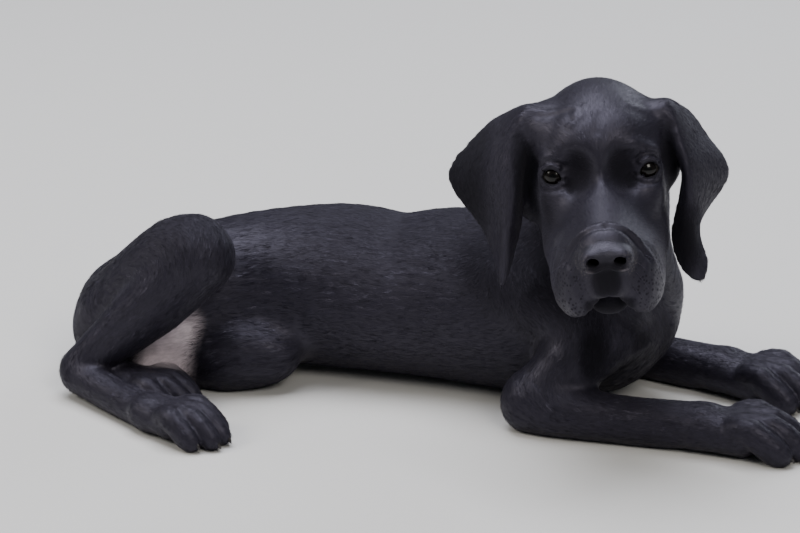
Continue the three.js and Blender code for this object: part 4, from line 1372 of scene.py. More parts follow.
    def unwrap(self) -> Array:
        """Lay the skin flat: charts of one region, one way and one block of space, side by side.

        Each chart keeps the two axes that it faces across. Charts fill shelves, tallest first.

        Returns:
            A place on the unit square for each corner of each triangle.
        """
        block, margin, slack = 160.0, 2.0, 1.08
        way = self.face_directions()
        middle = self.points[self.faces].mean(1)
        cell = np.floor((middle - self.net.lo) / block).astype(int)
        key = ((self.region[self.faces[:, 0]] * 6 + way) * 8 + cell[:, 0]) * 8 + cell[:, 1]
        names, chart = np.unique(key, return_inverse=True)
        other = np.array([[1, 2], [1, 2], [0, 2], [0, 2], [0, 1], [0, 1]])[way]
        corners = self.points[self.faces]
        flat = np.take_along_axis(corners, np.repeat(other[:, None], 3, 1), axis=2)
        lo = np.full((len(names), 2), 1e9)
        hi = -lo
        np.minimum.at(lo, chart, flat.min(1))
        np.maximum.at(hi, chart, flat.max(1))
        size = hi - lo + margin
        width = math.sqrt((size[:, 0] * size[:, 1]).sum()) * slack
        place = np.zeros((len(names), 2))
        x = y = shelf = 0.0
        for i in np.argsort(-size[:, 1]):
            if x + size[i, 0] > width:
                x, y, shelf = 0.0, y + shelf, 0.0
            place[i] = x, y
            x += size[i, 0]
            shelf = max(shelf, size[i, 1])
        return (flat - lo[chart][:, None] + place[chart][:, None]) / max(width, y + shelf)

    def lie_chart(self) -> Array:
        """Lay small patches flat with the hair running up each.

        A patch's frame is its mean place, normal and lie. Its corners' places are measured
        across and along the hair, in metres, and each patch starts at a place of its own.

        Returns:
            A place for each corner of each triangle.
        """
        block = 24.0
        middle = self.points[self.faces].mean(1)
        cell = np.floor((middle - self.net.lo) / block).astype(int)
        key = ((cell[:, 0] * 64 + cell[:, 1]) * 64 + cell[:, 2]) * 6 + self.face_directions()
        names, chart = np.unique(key, return_inverse=True)
        means = [self.gathered(v[self.faces].mean(1), chart, len(names)) for v in (self.normals, self.lie)]
        centre = self.gathered(middle, chart, len(names)) / np.bincount(chart)[:, None]
        normal, lie = (unit(v) for v in means)
        across = unit(np.cross(normal, lie))
        offset = self.points[self.faces] - centre[chart][:, None]
        start = np.random.default_rng(3).random((len(names), 2))
        place = np.stack([(offset * v[chart][:, None]).sum(2) for v in (across, lie)], -1)
        return place * MM + start[chart][:, None]

    def make(self, finish: "SkinFinish") -> bpy.types.Object:
        """Make the skin's object.

        Args:
            finish: What it is covered with.

        Returns:
            The object, which stands for every node of flesh.
        """
        self.uv, self.chart = self.unwrap(), self.lie_chart()
        maps = {"OFBake": self.uv, "Lie": self.chart}
        # Among the masks are painted shade, and the bare mask with its painted highlight.
        masks = {name: getattr(self, name) for name in ("leather", "bare_and_highlight", "painted_shade_and_dark_skin", "dotted", "chafed")}
        made = make_object("skin", to_row(self.points), self.faces, maps, masks, finish.make())
        nodes = [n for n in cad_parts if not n.startswith("eye_")]
        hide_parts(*nodes)
        return made


def make_object(
    name: str, points: Array, faces: Array, maps: dict[str, Array], masks: dict[str, Array],
    material: bpy.types.Material, normals: Array | None = None,
) -> bpy.types.Object:
    """Make an object of faces that all have the same number of corners, riding on the root.

    Args:
        name: The piece's name.
        points: Places in metres.
        faces: Rows of point numbers.
        maps: A place for each corner of each face, by the map's name.
        masks: A number for each point, by the attribute's name.
        material: Its material.
        normals: The way each point's shading faces, where it isn't the mesh's own.

    Returns:
        The object, at the origin.
    """
    mesh = bpy.data.meshes.new(name)
    mesh.vertices.add(len(points))
    mesh.vertices.foreach_set("co", points.astype(np.float32).ravel())
    mesh.loops.add(faces.size)
    mesh.loops.foreach_set("vertex_index", faces.astype(np.int32).ravel())
    mesh.polygons.add(len(faces))
    mesh.polygons.foreach_set("loop_start", np.arange(0, faces.size, faces.shape[1], dtype=np.int32))
    mesh.update(calc_edges=True)
    mesh.shade_smooth()
    for title, places in maps.items():
        layer = mesh.uv_layers.new(name=title)
        layer.uv.foreach_set("vector", places.astype(np.float32).ravel())
    for title, values in masks.items():
        mesh.attributes.new(title, "FLOAT", "POINT").data.foreach_set("value", values.astype(np.float32))
    if normals is not None:
        mesh.normals_split_custom_set_from_vertices(normals.astype(np.float32))
    mesh.materials.append(material)
    made = bpy.data.objects.new(name, mesh)
    bpy.context.collection.objects.link(made)
    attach(made, "root")
    LOG.info("%s: %d faces", name, len(faces))
    return made


@dataclass(frozen=True)
class Spikes:
    """Many tapering closed spikes: rings along a centre line, and a point at the end."""

    centres: Array
    tips: Array
    across: Array
    above: Array
    wide: Array
    high: Array
    sides: int = 3

    def mesh(self) -> tuple[Array, Array]:
        """Work out all points and triangles at once.

        A ring's corner is the centre plus cosine across plus sine above. Rings join to the
        next and the last to the tip, and a fan closes the root.

        Returns:
            Points, and triangles of their numbers.
        """
        count, rings = self.centres.shape[:2]
        angle = np.arange(self.sides) / self.sides * 2 * math.pi
        c, s = np.cos(angle)[None, None, :, None], np.sin(angle)[None, None, :, None]
        ring = (self.centres[:, :, None] + c * (self.across * self.wide[..., None])[:, :, None]
                + s * (self.above * self.high[..., None])[:, :, None])
        points = np.concatenate([ring.reshape(count, -1, 3), self.tips[:, None]], 1)
        i = np.arange(self.sides)
        j = (i + 1) % self.sides
        parts = [np.stack([np.zeros(self.sides - 2, int), i[2:], i[1:-1]], 1)]
        for r in range(rings - 1):
            low, high = r * self.sides, (r + 1) * self.sides
            parts.append(np.stack([low + i, low + j, high + j], 1))
            parts.append(np.stack([low + i, high + j, high + i], 1))
        last = (rings - 1) * self.sides
        parts.append(np.stack([last + i, last + j, np.full(self.sides, rings * self.sides)], 1))
        one = np.concatenate(parts)
        faces = one[None] + (np.arange(count) * points.shape[1])[:, None, None]
        return points.reshape(-1, 3), faces.reshape(-1, 3)


@dataclass(frozen=True)
class Hair:
    """How the hair of one region grows: sizes in millimetres, its rise in degrees.

    A real hair is 0.05 to 0.1 mm thick, too fine to show, so a tuft stands for several hairs. A
    lock is the patch in which all hairs lean and shine alike, also drawn wider than a real one.
    """

    length: float
    width: float
    rise: float
    cover: float
    lock_width: float
    lock_length: float
    lean: float


HAIRS = {
    Region.HEAD: Hair(3.0, 0.30, 7, 0.8, 1.2, 4.0, 0.22),
    Region.NECK: Hair(5.5, 0.38, 6, 0.9, 1.6, 8.0, 0.30),
    Region.TORSO: Hair(6.0, 0.38, 4.5, 0.9, 1.7, 10.0, 0.32),
    Region.FORELEG: Hair(4.5, 0.36, 6, 0.9, 1.5, 6.0, 0.26),
    Region.HINDLEG: Hair(5.0, 0.38, 6, 0.9, 1.6, 7.0, 0.26),
    Region.PAW: Hair(3.2, 0.34, 8, 0.8, 1.2, 4.0, 0.20),
    Region.TAIL: Hair(5.0, 0.38, 7, 0.9, 1.4, 6.0, 0.26),
    Region.EAR: Hair(3.2, 0.30, 6, 0.8, 1.2, 5.0, 0.22),
}


@dataclass
class Coat:
    """The short coat of some regions, as thin flat tufts that lie along the skin.

    The span is the stretch along the body that it covers. Tufts are thinned out where the skin
    is bare or dotted, and half as long at the nose. They are sunk only so far that the rest
    shows, and none goes under the floor.
    """

    name: str
    regions: tuple[Region, ...]
    seed: int
    span: tuple[float, float] = (-FAR, FAR)
    most: int = 49000
    thin_bare: float = 0.75
    thin_dotted: float = 0.6
    short_muzzle: float = 0.5
    sway: float = 0.16
    sunk: float = 0.13
    lowest: float = 0.2
    flatness: float = 0.45
    tilt: float = 0.10
    ruffle: float = 0.06
    own_tone: float = 0.7

    def make(self, skin: Skin, finish: "HairFinish") -> bpy.types.Object:
        """Scatter the tufts over the skin and make them one object.

        A tuft starts at a random place in a triangle, drawn by area and cover. It is sunk a
        little, runs along the lie with some jitter, and its tip rises by the region's angle. Its
        shading faces as the skin does, tilted towards the tip and leaning as its lock does.

        Args:
            skin: The finished skin.
            finish: What the hair looks like.

        Returns:
            The object.
        """
        draw = np.random.default_rng(self.seed)
        tris = skin.faces
        region = skin.region[tris[:, 0]]
        a, b, c = (skin.points[tris[:, i]] for i in range(3))
        area = np.linalg.norm(np.cross(b - a, c - a), axis=1) / 2
        table = np.array([astuple(HAIRS[part]) for part in Region])
        length, width, rise, cover = table[region, :4].T
        off_floor = 0.3
        wanted = np.isin(region, [r.value for r in self.regions]) & (a[:, 2] > off_floor)
        wanted &= (a[:, 0] > self.span[0]) & (a[:, 0] <= self.span[1])
        first = tris[:, 0]
        clear = 1 - np.clip(skin.leather[first] * 2, 0, 1)
        clear *= (1 - self.thin_bare * skin.bare_and_highlight[first]) * (1 - self.thin_dotted * skin.dotted[first])
        weight = area * cover / (length * width / 2) * wanted * clear
        count = min(int(weight.sum()), self.most)
        which = draw.choice(len(tris), count, p=weight / weight.sum())
        u, v = draw.random((2, count))
        over = u + v > 1
        u, v = np.where(over, 1 - u, u), np.where(over, 1 - v, v)
        share = np.stack([1 - u - v, u, v], 1)
        corners = tris[which]
        root, normal, lie = (self.mixed(v[corners], share) for v in (skin.points, skin.normals, skin.lie))
        normal = unit(normal)
        side = unit(np.cross(normal, lie))
        sway = draw.normal(0, self.sway, count)[:, None]
        lie = unit(unit(lie) + side * sway)
        side = unit(np.cross(normal, lie))
        shorter = 1 - self.short_muzzle * self.on_muzzle(root)
        long = length[which] * draw.uniform(0.75, 1.2, count) * shorter
        lift = np.radians(rise[which]) * draw.uniform(0.5, 1.5, count)
        base = root - normal * self.sunk
        tip = base + (lie * np.cos(lift)[:, None] + normal * np.sin(lift)[:, None]) * long[:, None]
        tip[:, 2] = np.maximum(tip[:, 2], self.lowest)
        base[:, 2] = np.maximum(base[:, 2], self.lowest)
        half = (width[which] * draw.uniform(0.7, 1.3, count) / 2)[:, None]
        points, faces = Spikes(
            base[:, None], tip, side[:, None], normal[:, None], half, half * self.flatness,
        ).mesh()
        points[:, 2] = np.maximum(points[:, 2], self.lowest / 4)
        place = self.mixed(skin.uv[which], share)
        lock = self.locks(self.mixed(skin.chart[which], share), table[region[which], 4:6])
        lean = table[region[which], 6:7] * lock[:, :2]
        facing = normal + side * lean[:, :1] + lie * (self.tilt + lean[:, 1:])
        facing = unit(facing + self.ruffle * draw.normal(0, 1, (count, 3)))
        tone = self.own_tone * draw.normal(0, 1, count) + lock[:, 2]
        masks = {"tone": tone}
        # Each tuft takes the skin's painted shade, and its bare mask with the painted highlight.
        masks |= {name: getattr(skin, name)[first[which]] for name in ("painted_shade_and_dark_skin", "bare_and_highlight", "dotted")}
        return self.piece(points, faces, place, masks, facing, finish)

    @staticmethod
    def mixed(values: Array, share: Array) -> Array:
        """Return the mean of each triangle's three values by their shares."""
        return (values * share[..., None]).sum(1)

    @staticmethod
    def locks(places: Array, size: Array) -> Array:
        """Draw three numbers for each lock, shared by the tufts whose roots lie in it.

        Locks are cells across and along the hair; each file of them starts at its own height.
        Files and rows are counted round two primes, so that no pattern comes back.

        Args:
            places: The roots' places across and along the hair, in metres.
            size: The locks' width and length round each, in millimetres.

        Returns:
            Numbers round 0, mostly within 1.
        """
        files, rows, spread, per_metre = 1009, 997, 0.8, 1000
        draw = np.random.default_rng(5)
        file = np.floor(places[:, 0] * per_metre / size[:, 0]).astype(int) % files
        start = draw.random(files)[file]
        row = np.floor(places[:, 1] * per_metre / size[:, 1] + start).astype(int) % rows
        return draw.normal(0, spread, (files * rows, 3))[file * rows + row]

    @staticmethod
    def on_muzzle(points: Array) -> Array:
        """Return 1 at the nose and 0 behind the eyes, where the hair is longer."""
        muzzle, head = 60, 110
        ahead = np.clip(HEAD.inward(points)[:, 0] / muzzle, 0, 1)
        return ahead * (np.linalg.norm(points - HEAD.at, axis=1) < head)

    def piece(
        self, points: Array, faces: Array, place: Array, masks: dict[str, Array], facing: Array,
        finish: "HairFinish",
    ) -> bpy.types.Object:
        """Make the coat's object, each tuft a small patch at its root's place on the unwrap.

        Args:
            points: All the tufts' points.
            faces: Their triangles.
            place: Each tuft's place on the unwrap.
            masks: A number for each tuft, by the attribute's name.
            facing: The way each tuft's shading faces.
            finish: What the hair looks like.

        Returns:
            The object.
        """
        patch, corners = 0.0015, 4
        angle = np.arange(3) / 3 * 2 * math.pi
        ring = np.stack([np.cos(angle), np.sin(angle)], 1) * patch
        spread = np.concatenate([ring, np.zeros((1, 2))])
        places = (place[:, None] + spread[None]).reshape(-1, 2)[faces]
        masks = {title: values.repeat(corners) for title, values in masks.items()}
        made = make_object(
            self.name, to_row(points), faces, {"OFBake": places}, masks, finish.make(),
            facing.repeat(corners, 0),
        )
        return made


def linear(colour: str) -> tuple[float, float, float, float]:
    """Return an sRGB hex colour in linear light, with full alpha."""
    parts = [int(colour[i:i + 2], 16) / 255 for i in (1, 3, 5)]
    return (*[p / 12.92 if p <= 0.04045 else ((p + 0.055) / 1.055) ** 2.4 for p in parts], 1.0)


def add_node(
    tree: bpy.types.NodeTree, kind: str, inputs: dict | None = None, **settings: object,
) -> bpy.types.Node:
    """Add a shader node, set it up and link it.

    Args:
        tree: The material's tree.
        kind: The node's type without its ShaderNode prefix.
        inputs: A value or another node's output for each named or numbered input.
        settings: The node's own options.

    Returns:
        The node.
    """
    node = tree.nodes.new("ShaderNode" + kind)
    for name, value in settings.items():
        setattr(node, name, value)
    for name, value in (inputs or {}).items():
        if isinstance(value, bpy.types.NodeSocket):
            tree.links.new(value, node.inputs[name])
        else:
            node.inputs[name].default_value = value
    return node


def new_material(name: str) -> tuple[bpy.types.Material, bpy.types.NodeTree]:
    """Return an empty node material and its tree."""
    material = bpy.data.materials.new(name)
    material.use_nodes = True
    material.node_tree.nodes.clear()
    return material, material.node_tree


def surface(tree: bpy.types.NodeTree, inputs: dict) -> None:
    """Add a principled shader with these inputs and the output that shows it."""
    shader = add_node(tree, "BsdfPrincipled", inputs)
    add_node(tree, "OutputMaterial", {"Surface": shader.outputs[0]})


def mix_colour(tree: bpy.types.NodeTree, share: object, a: object, b: object) -> bpy.types.NodeSocket:
    """Return the mix of two colours: a where the share is 0 and b where it is 1."""
    node = add_node(tree, "Mix", {0: share, 6: a, 7: b}, data_type="RGBA")
    return node.outputs[2]


def speckle(
    tree: bpy.types.NodeTree, place: object, mask: str, size_mm: float, extra: float,
) -> bpy.types.NodeSocket:
    """Return small round dots, where a mask lets them show.

    Args:
        tree: The material's tree.
        place: Object coordinates.
        mask: The mask's attribute.
        size_mm: How far apart the dots are.
        extra: How much wider than a quarter of that they are.

    Returns:
        The share of the dots' colour.
    """
    cells = add_node(tree, "TexVoronoi", {"Vector": place, "Scale": 1000 / size_mm})
    dots = add_node(tree, "MapRange", {
        "Value": cells.outputs["Distance"], 1: 0.35 + extra, 2: 0.15 + extra, 3: 0.0, 4: 0.55,
    })
    where = add_node(tree, "Attribute", attribute_name=mask).outputs["Fac"]
    return add_node(tree, "Math", {0: dots.outputs[0], 1: where}, operation="MULTIPLY").outputs[0]


# The cool satin shine of light on black hair, the same all over skin and hair.
SHEEN = linear("#ece6ff")
SATIN = {
    "Specular IOR Level": 0.45, "Specular Tint": SHEEN, "Sheen Weight": 0.03, "Sheen Roughness": 0.4,
    "Sheen Tint": SHEEN,
}


@dataclass(frozen=True)
class SkinFinish:
    """Black skin under a sleek coat, bare and leathery at the nose and lids, pale at the groin.

    Living skin with short hair lying flat on it: a satin shine in streaks along the hair. Real
    hairs are 0.05 to 0.1 mm wide, too fine to show, so a streak stands for a lock of them. The
    nose's pebbles, the roots of the whiskers and the flakes are near their real size. Painted
    shade darkens and dulls the skin where shade falls, and a painted highlight lightens the rims
    below the nostrils.
    """

    coat: str = "#1c1a22"
    faded: str = "#15141a"
    # The colour of painted shade, and also of the whisker dots.
    painted_shade_and_dark_skin: str = "#08080a"
    # Pale skin, and the painted highlight below the nostrils.
    bare_and_highlight: str = "#e4d6dc"
    leather: str = "#19191d"
    hair_mm: float = 1.4
    strand_mm: float = 6.0
    pebble_mm: float = 1.1
    dot_mm: float = 2.7
    flake_mm: float = 1.6
    flake: str = "#55514f"
    depth_mm: float = 0.2
    dull: float = 0.60
    sleek: float = 0.40
    moist: float = 0.44

    def make(self) -> bpy.types.Material:
        """Return the material."""
        material, tree = new_material("black_puppy_skin")
        place = add_node(tree, "TexCoord").outputs["Object"]
        lie = add_node(tree, "UVMap", uv_map="Lie").outputs[0]
        streak = add_node(tree, "Mapping", {
            "Vector": lie, "Scale": (1000 / self.hair_mm, 1000 / self.strand_mm, 1),
        })
        hair = add_node(tree, "TexNoise", {"Vector": streak.outputs[0], "Scale": 1.0, "Detail": 3.0})
        cloud = add_node(tree, "TexNoise", {"Vector": place, "Scale": 22.0, "Detail": 3.0})
        pebble = add_node(tree, "TexVoronoi", {"Vector": place, "Scale": 1000 / self.pebble_mm})
        leather, bare_and_highlight, painted_shade_and_dark_skin = (
            add_node(tree, "Attribute", attribute_name=name).outputs["Fac"]
            for name in ("leather", "bare_and_highlight", "painted_shade_and_dark_skin")
        )
        coat = mix_colour(tree, cloud.outputs["Fac"], linear(self.faded), linear(self.coat))
        mottle = add_node(tree, "MapRange", {
            "Value": hair.outputs["Fac"], 1: 0.35, 2: 0.7, 3: 0.75, 4: 1.0,
        })
        thin = add_node(tree, "Math", {0: bare_and_highlight, 1: mottle.outputs[0]}, operation="MULTIPLY")
        # Pale bare skin, which also paints the highlight below the nostrils.
        colour = mix_colour(tree, thin.outputs[0], coat, linear(self.bare_and_highlight))
        colour = mix_colour(tree, leather, colour, linear(self.leather))
        # Painted shade: darker where shade falls, and on the lids' rims.
        colour = mix_colour(tree, painted_shade_and_dark_skin, colour, linear(self.painted_shade_and_dark_skin))
        dots = speckle(tree, place, "dotted", self.dot_mm, 0.05)
        flakes = speckle(tree, place, "chafed", self.flake_mm, 0.1)
        colour = mix_colour(tree, dots, colour, linear(self.painted_shade_and_dark_skin))
        colour = mix_colour(tree, flakes, colour, linear(self.flake))
        rough = add_node(tree, "MapRange", {
            "Value": hair.outputs["Fac"], 1: 0.3, 2: 0.7, 3: self.dull, 4: self.sleek,
        })
        rough = add_node(tree, "MapRange", {"Value": leather, 3: rough.outputs[0], 4: self.moist})
        for matt in (painted_shade_and_dark_skin, dots):
            rough = add_node(tree, "Math", {0: rough.outputs[0], 1: matt}, operation="ADD", use_clamp=True)
        height = add_node(tree, "Mix", {0: leather, 2: hair.outputs["Fac"], 3: pebble.outputs["Distance"]})
        bump = add_node(tree, "Bump", {
            "Height": height.outputs[0], "Distance": self.depth_mm * MM, "Strength": 0.7,
        })
        surface(tree, {
            "Base Color": colour, "Roughness": rough.outputs[0], "Normal": bump.outputs[0], **SATIN,
        })
        return material


@dataclass(frozen=True)
class HairFinish:
    """Short black hair: dark with a cool satin shine, tufts and locks lighter or darker.

    Smooth keratin, a little greasy. A lighter tuft is glossier too, and stands for many hairs
    that are each too fine to show. Painted shade darkens and dulls it where shade falls, and the
    pale of bare skin also paints a highlight below the nostrils.
    """

    dark: str = "#0e0d12"
    light: str = "#2b2834"
    # The colour of painted shade, and also of the whisker dots.
    painted_shade_and_dark_skin: str = "#08080a"
    # Pale hair on bare skin, and the painted highlight below the nostrils.
    pale: str = "#d0c2ca"
    lock_mm: float = 3.0
    dot_mm: float = 2.7
    tones: float = 2.5
    dull: float = 0.60
    sleek: float = 0.38

    def make(self) -> bpy.types.Material:
        """Return the material, made once."""
        if "black_short_hair" in bpy.data.materials:
            return bpy.data.materials["black_short_hair"]
        material, tree = new_material("black_short_hair")
        tone = add_node(tree, "Attribute", attribute_name="tone").outputs["Fac"]
        place = add_node(tree, "TexCoord").outputs["Object"]
        # Painted shade where shade falls, with the whisker dots added in.
        painted_shade_and_dark_skin = add_node(tree, "Attribute", attribute_name="painted_shade_and_dark_skin").outputs["Fac"]
        dots = speckle(tree, place, "dotted", self.dot_mm, 0.05)
        painted_shade_and_dark_skin = add_node(tree, "Math", {0: painted_shade_and_dark_skin, 1: dots}, operation="ADD", use_clamp=True).outputs[0]
        lock = add_node(tree, "TexNoise", {"Vector": place, "Scale": 1000 / self.lock_mm, "Detail": 2.0})
        lock = add_node(tree, "MapRange", {"Value": lock.outputs["Fac"], 1: 0.3, 2: 0.7, 3: -1.0, 4: 1.0})
        tone = add_node(tree, "Math", {0: tone, 1: lock.outputs[0]}, operation="ADD").outputs[0]
        share = add_node(tree, "MapRange", {"Value": tone, 1: -self.tones, 2: self.tones})
        colour = mix_colour(tree, share.outputs[0], linear(self.dark), linear(self.light))
        colour = mix_colour(tree, painted_shade_and_dark_skin, colour, linear(self.painted_shade_and_dark_skin))
        # Pale on bare skin, and a painted highlight below the nostrils.
        bare_and_highlight = add_node(tree, "Attribute", attribute_name="bare_and_highlight").outputs["Fac"]
        colour = mix_colour(tree, bare_and_highlight, colour, linear(self.pale))
        rough = add_node(tree, "MapRange", {
            "Value": tone, 1: -self.tones, 2: self.tones, 3: self.dull, 4: self.sleek,
        })
        rough = add_node(tree, "MapRange", {"Value": painted_shade_and_dark_skin, 3: rough.outputs[0], 4: 1.0})
        surface(tree, {"Base Color": colour, "Roughness": rough.outputs[0], **SATIN})
        return material


@dataclass(frozen=True)
class EyeFinish:
    """A wet, very dark brown eye: black pupil, brown iris in a darker ring, and a dark white.

    A clear wet coat gives it a small sharp highlight.
    """

    pupil: str = "#020202"
    iris: str = "#0e0907"
    ring: str = "#050403"
    white: str = "#2e2a28"

    def make(self) -> bpy.types.Material:
        """Return the material, made once."""
        if "wet_dark_eye" in bpy.data.materials:
            return bpy.data.materials["wet_dark_eye"]
        material, tree = new_material("wet_dark_eye")
        far = add_node(tree, "Attribute", attribute_name="iris").outputs["Fac"]
        ramp = add_node(tree, "ValToRGB", {"Fac": far})
        stops = (
            (0.0, self.pupil), (0.30, self.pupil), (0.36, self.iris), (0.62, self.iris),
            (0.70, self.ring), (0.78, self.ring), (0.86, self.white),
        )
        while len(ramp.color_ramp.elements) < len(stops):
            ramp.color_ramp.elements.new(0.5)
        for element, (at, colour) in zip(ramp.color_ramp.elements, stops):
            element.position = at
            element.color = linear(colour)
        surface(tree, {
            "Base Color": ramp.outputs["Color"], "Roughness": 0.25, "Specular IOR Level": 0.1,
            "Coat Weight": 0.45, "Coat Roughness": 0.02,
        })
        return material


@dataclass(frozen=True)
class HornFinish:
    """Dark horn of the claws, smooth and a little glossy, streaked along its length."""

    dark: str = "#131112"
    light: str = "#2c2726"

    def make(self) -> bpy.types.Material:
        """Return the material."""
        material, tree = new_material("dark_claw_horn")
        place = add_node(tree, "TexCoord").outputs["Object"]
        noise = add_node(tree, "TexNoise", {"Vector": place, "Scale": 420.0, "Detail": 2.0})
        colour = mix_colour(tree, noise.outputs["Fac"], linear(self.dark), linear(self.light))
        surface(tree, {"Base Color": colour, "Roughness": 0.3})
        return material


@dataclass
class Eyes:
    """Both eyeballs, each a sphere with the clear front's bulge."""

    bulge: float = 0.7
    iris: float = 6.9
    inward: float = 0.09
    upward: float = 0.07
    rows: int = 40
    columns: int = 64

    def make(self, eye: Eye, name: str) -> bpy.types.Object:
        """Make one eyeball on a grid of angles from the gaze and round it.

        The bulge is a bell curve of the distance from the gaze.

        Args:
            eye: The eye's place and axes.
            name: The node that it stands for.

        Returns:
            The object.
        """
        clearance = 0.15
        off = np.linspace(0, math.pi, self.rows + 1)[1:-1, None]
        about = np.arange(self.columns)[None] / self.columns * 2 * math.pi
        local = [np.cos(off) + 0 * about, np.sin(off) * np.cos(about), np.sin(off) * np.sin(about)]
        local = np.stack(local, -1).reshape(-1, 3)
        local = np.concatenate([[[1.0, 0, 0]], local, [[-1.0, 0, 0]]])
        aside = np.hypot(local[:, 1] + self.inward * eye.side, local[:, 2] - self.upward) * eye.radius
        swell = self.bulge * np.exp(-((aside / self.iris) ** 2)) * (local[:, 0] > 0)
        points = local * (eye.radius - clearance + swell)[:, None]
        axes = eye.axes() * ((1,), (eye.side,), (1,))
        points = to_row(HEAD.outward(points @ axes + eye.middle))
        i = np.arange(self.columns)
        j = (i + 1) % self.columns
        row = 1 + np.arange(self.rows - 2)[:, None] * self.columns
        below = row + self.columns
        sides = np.stack([row + i, below + i, below + j, row + j], -1).reshape(-1, 4)
        last = 1 + (self.rows - 2) * self.columns
        front = np.stack([0 * i, 1 + i, 1 + j], 1)
        back = np.stack([last + j, last + i, 0 * i + len(points) - 1], 1)
        faces = np.concatenate([sides[:, [0, 1, 2]], sides[:, [0, 2, 3]], front, back])
        far = np.where(local[:, 0] > 0, aside / self.iris, 2.0)
        made = make_object(name + "_ball", points, faces, {}, {"iris": far}, EyeFinish().make())
        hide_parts(name)
        return made


@dataclass
class Claws:
    """Four claws on each paw: short horn spikes that bend down."""

    length: float = 10.0
    radius: float = 2.3
    droop: float = 40.0
    ahead: float = 3.0
    height: float = 9.0
    narrow: float = 0.8
    lowest: float = 0.1
    rings: int = 5

    def make(self) -> bpy.types.Object:
        """Make all claws as one object: a centre line that bends by the droop to its tip.

        Returns:
            The object.
        """
        t = np.linspace(0, 1, self.rings + 1)
        bend = np.radians(self.droop) * (0.4 + 0.6 * t)
        line = np.stack([t * self.length * np.cos(bend), 0 * t, -t * self.length * np.sin(bend)], 1)
        centres, across = [], []
        for paw in PAWS.values():
            for y, reach in paw.toes:
                root = (reach + self.ahead, y * paw.spread[2], self.height)
                centres.append(paw.place(line + root))
                across.append(unit(paw.place([0, 1, 0]) - paw.place([0, 0, 0])))
        centres = np.array(centres)
        across = np.repeat(np.array(across)[:, None], self.rings, 1)
        forward = unit(centres[:, 1:] - centres[:, :-1])
        above = np.cross(forward, across)
        wide = np.repeat((self.radius * np.sqrt(1 - 0.9 * t[:-1]))[None], len(centres), 0)
        points, faces = Spikes(
            centres[:, :-1], centres[:, -1], across, above, wide * self.narrow, wide, sides=10,
        ).mesh()
        points[:, 2] = np.maximum(points[:, 2], self.lowest)
        made = make_object("claws", to_row(points), faces, {}, {}, HornFinish().make())
        return made


@dataclass
class Whiskers:
    """Stiff hairs on the flews, the chin and over the eyes."""

    seed: int = 11
    radius: float = 0.16
    jitter: float = 1.2
    scatter: float = 0.4
    sunk: float = 0.5
    fall: float = 0.25
    rings: int = 6

    def make(self, skin: Skin, finish: HairFinish) -> bpy.types.Object:
        """Make all whiskers: from places in rows on the flews, outwards, back and down.

        A whisker's line bends by gravity with the square of the way along it.

        Args:
            skin: The finished skin.
            finish: What the hair looks like.

        Returns:
            The object.
        """
        draw = np.random.default_rng(self.seed)
        levels, stations = (-44, -51, -58, -65), (30, 37, 44, 51, 58)
        rows = np.array([(x, 24.0 - 0.15 * x, z) for z in levels for x in stations])
        brows = np.array([(2, 30, 13.5), (3, 26, 13)])
        places = np.concatenate([rows, brows]) + draw.normal(0, self.jitter, (len(rows) + 2, 3))
        long = np.concatenate([draw.uniform(9, 20, len(rows)), [14, 11]])
        aim = np.tile([-0.1, 0.8, -0.5], (len(places), 1))
        aim = aim + draw.normal(0, self.scatter, (len(places), 3))
        aim[-2:] = (0.6, 0.3, 0.7)
        both = np.concatenate([places, places * (1, -1, 1)]).astype(np.float32)
        aim = unit(np.concatenate([aim, aim * (1, -1, 1)]))
        long = np.concatenate([long, long * draw.uniform(0.8, 1.2, len(long))])
        which = Ear.nearest(both, skin.local.astype(np.float32))[1]
        root = skin.points[which] - skin.normals[which] * self.sunk
        aim = unit(HEAD.turn_out(aim) + 0.5 * skin.normals[which])
        t = np.linspace(0, 1, self.rings + 1)[None, :, None]
        drop = np.array([0, 0, -self.fall]) * t**2
        line = root[:, None] + (aim[:, None] * t + drop) * long[:, None, None]
        forward = unit(line[:, 1:] - line[:, :-1])
        across = unit(np.cross(forward, [0, 0, 1.0]))
        above = np.cross(across, forward)
        wide = np.repeat((self.radius * (1 - 0.8 * t[0, :-1, 0]))[None], len(root), 0)
        points, faces = Spikes(line[:, :-1], line[:, -1], across, above, wide, wide, sides=5).mesh()
        plain = np.zeros(len(points))
        masks = {"tone": plain + 1, "painted_shade_and_dark_skin": plain, "bare_and_highlight": plain}
        made = make_object("whiskers", to_row(points), faces, {}, masks, finish.make())
        return made


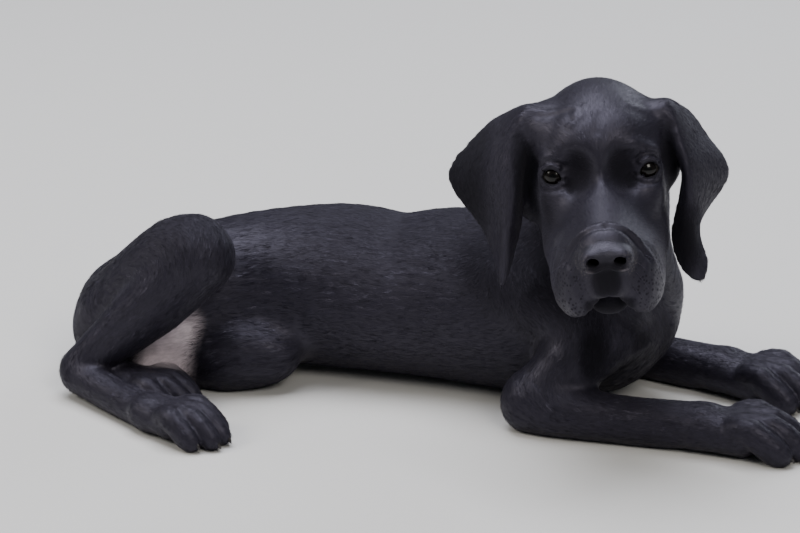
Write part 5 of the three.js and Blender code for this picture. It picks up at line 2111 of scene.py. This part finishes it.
@dataclass
class Studio:
    """A pale floor, soft light and the camera at the photograph's angle."""

    azimuth: float = 15.0
    elevation: float = 20.0
    range: float = 2520.0
    target: Triple = (0.0, 0.0, 80.0)
    pixel_range: float = 3636.0
    image_width: float = 800.0
    floor_size: float = 8.0
    floor: str = "#cfcecb"
    sky: str = "#dfe6ef"
    sky_power: float = 0.16

    def camera(self) -> None:
        """Place the camera. Its lens gives the photograph's pixels at the sensor's width."""
        a, e = math.radians(self.azimuth), math.radians(self.elevation)
        back = np.array([math.sin(a) * math.cos(e), -math.cos(a) * math.cos(e), math.sin(e)])
        right = np.array([math.cos(a), math.sin(a), 0.0])
        data = bpy.data.cameras.new("camera")
        data.sensor_width = 36.0
        data.lens = data.sensor_width * self.pixel_range / self.image_width
        made = bpy.data.objects.new("camera", data)
        bpy.context.collection.objects.link(made)
        turn = Matrix(np.stack([right, np.cross(back, right), back], 1).tolist())
        made.matrix_world = Matrix.Translation(to_row(self.target + back * self.range)) @ turn.to_4x4()
        bpy.context.scene.camera = made

    def lamp(self, name: str, at: Triple, size: float, power: float, colour: str) -> None:
        """Add a square soft lamp.

        Args:
            name: Its name.
            at: Where it stands, in metres.
            size: Its side, in metres.
            power: Its power in watts.
            colour: Its colour.
        """
        data = bpy.data.lights.new(name, "AREA")
        data.size, data.energy = size, power
        data.color = linear(colour)[:3]
        made = bpy.data.objects.new(name, data)
        bpy.context.collection.objects.link(made)
        back = unit(np.array(at))
        right = unit(np.cross([0, 0, 1.0], back))
        turn = Matrix(np.stack([right, np.cross(back, right), back], 1).tolist())
        made.matrix_world = Matrix.Translation(at) @ turn.to_4x4()

    def build(self) -> None:
        """Lay the floor, light the sky and set the lamps."""
        half = self.floor_size / 2
        corners = np.array([(-half, -half, 0), (half, -half, 0), (half, half, 0), (-half, half, 0)])
        material, tree = new_material("pale_floor")
        surface(tree, {"Base Color": linear(self.floor), "Roughness": 0.8})
        floor = make_object("floor", corners, np.array([[0, 1, 2, 3]]), {}, {}, material)
        world = bpy.data.worlds.new("soft_sky")
        world.use_nodes = True
        background = world.node_tree.nodes["Background"]
        background.inputs["Color"].default_value = linear(self.sky)
        background.inputs["Strength"].default_value = self.sky_power
        bpy.context.scene.world = world
        self.lamp("top", (-0.3, 0.2, 2.4), 2.0, 86.0, "#f4f6ff")
        self.lamp("left", (-2.2, -1.2, 1.9), 1.2, 38.0, "#fffaf2")
        self.lamp("right", (1.7, -2.0, 2.2), 1.2, 42.0, "#fffaf2")
        self.lamp("back", (0.9, 2.2, 1.2), 1.4, 22.0, "#eef3ff")
        self.camera()


# Where along the body the shoulders' coat gives way to the loins'.
MID_BODY = -20.0
COATS = (
    Coat("coat_head", (Region.HEAD,), 20),
    Coat("coat_ears", (Region.EAR,), 21),
    Coat("coat_neck", (Region.NECK,), 22),
    Coat("coat_shoulders", (Region.TORSO,), 24, (MID_BODY, FAR)),
    Coat("coat_loins", (Region.TORSO,), 25, (-FAR, MID_BODY)),
    Coat("coat_forelegs", (Region.FORELEG,), 26),
    Coat("coat_hindlegs", (Region.HINDLEG, Region.TAIL), 27),
    Coat("coat_paws", (Region.PAW,), 28),
)


def main() -> None:
    """Build the studio, the skin and all that grows on it."""
    logging.basicConfig(level=logging.INFO, format="%(name)s %(relativeCreated)d ms: %(message)s")
    Studio().build()
    skin = Skin(Puppy(), Net())
    skin.build()
    LOG.info("skin: %d points", len(skin.points))
    skin.make(SkinFinish())
    hair = HairFinish()
    for coat in COATS:
        coat.make(skin, hair)
    for eye, name in zip(skin.body.skull.eyes, ("eye_left", "eye_right")):
        Eyes().make(eye, name)
    Claws().make()
    Whiskers().make(skin, hair)


if __name__ == "__main__":
    main()
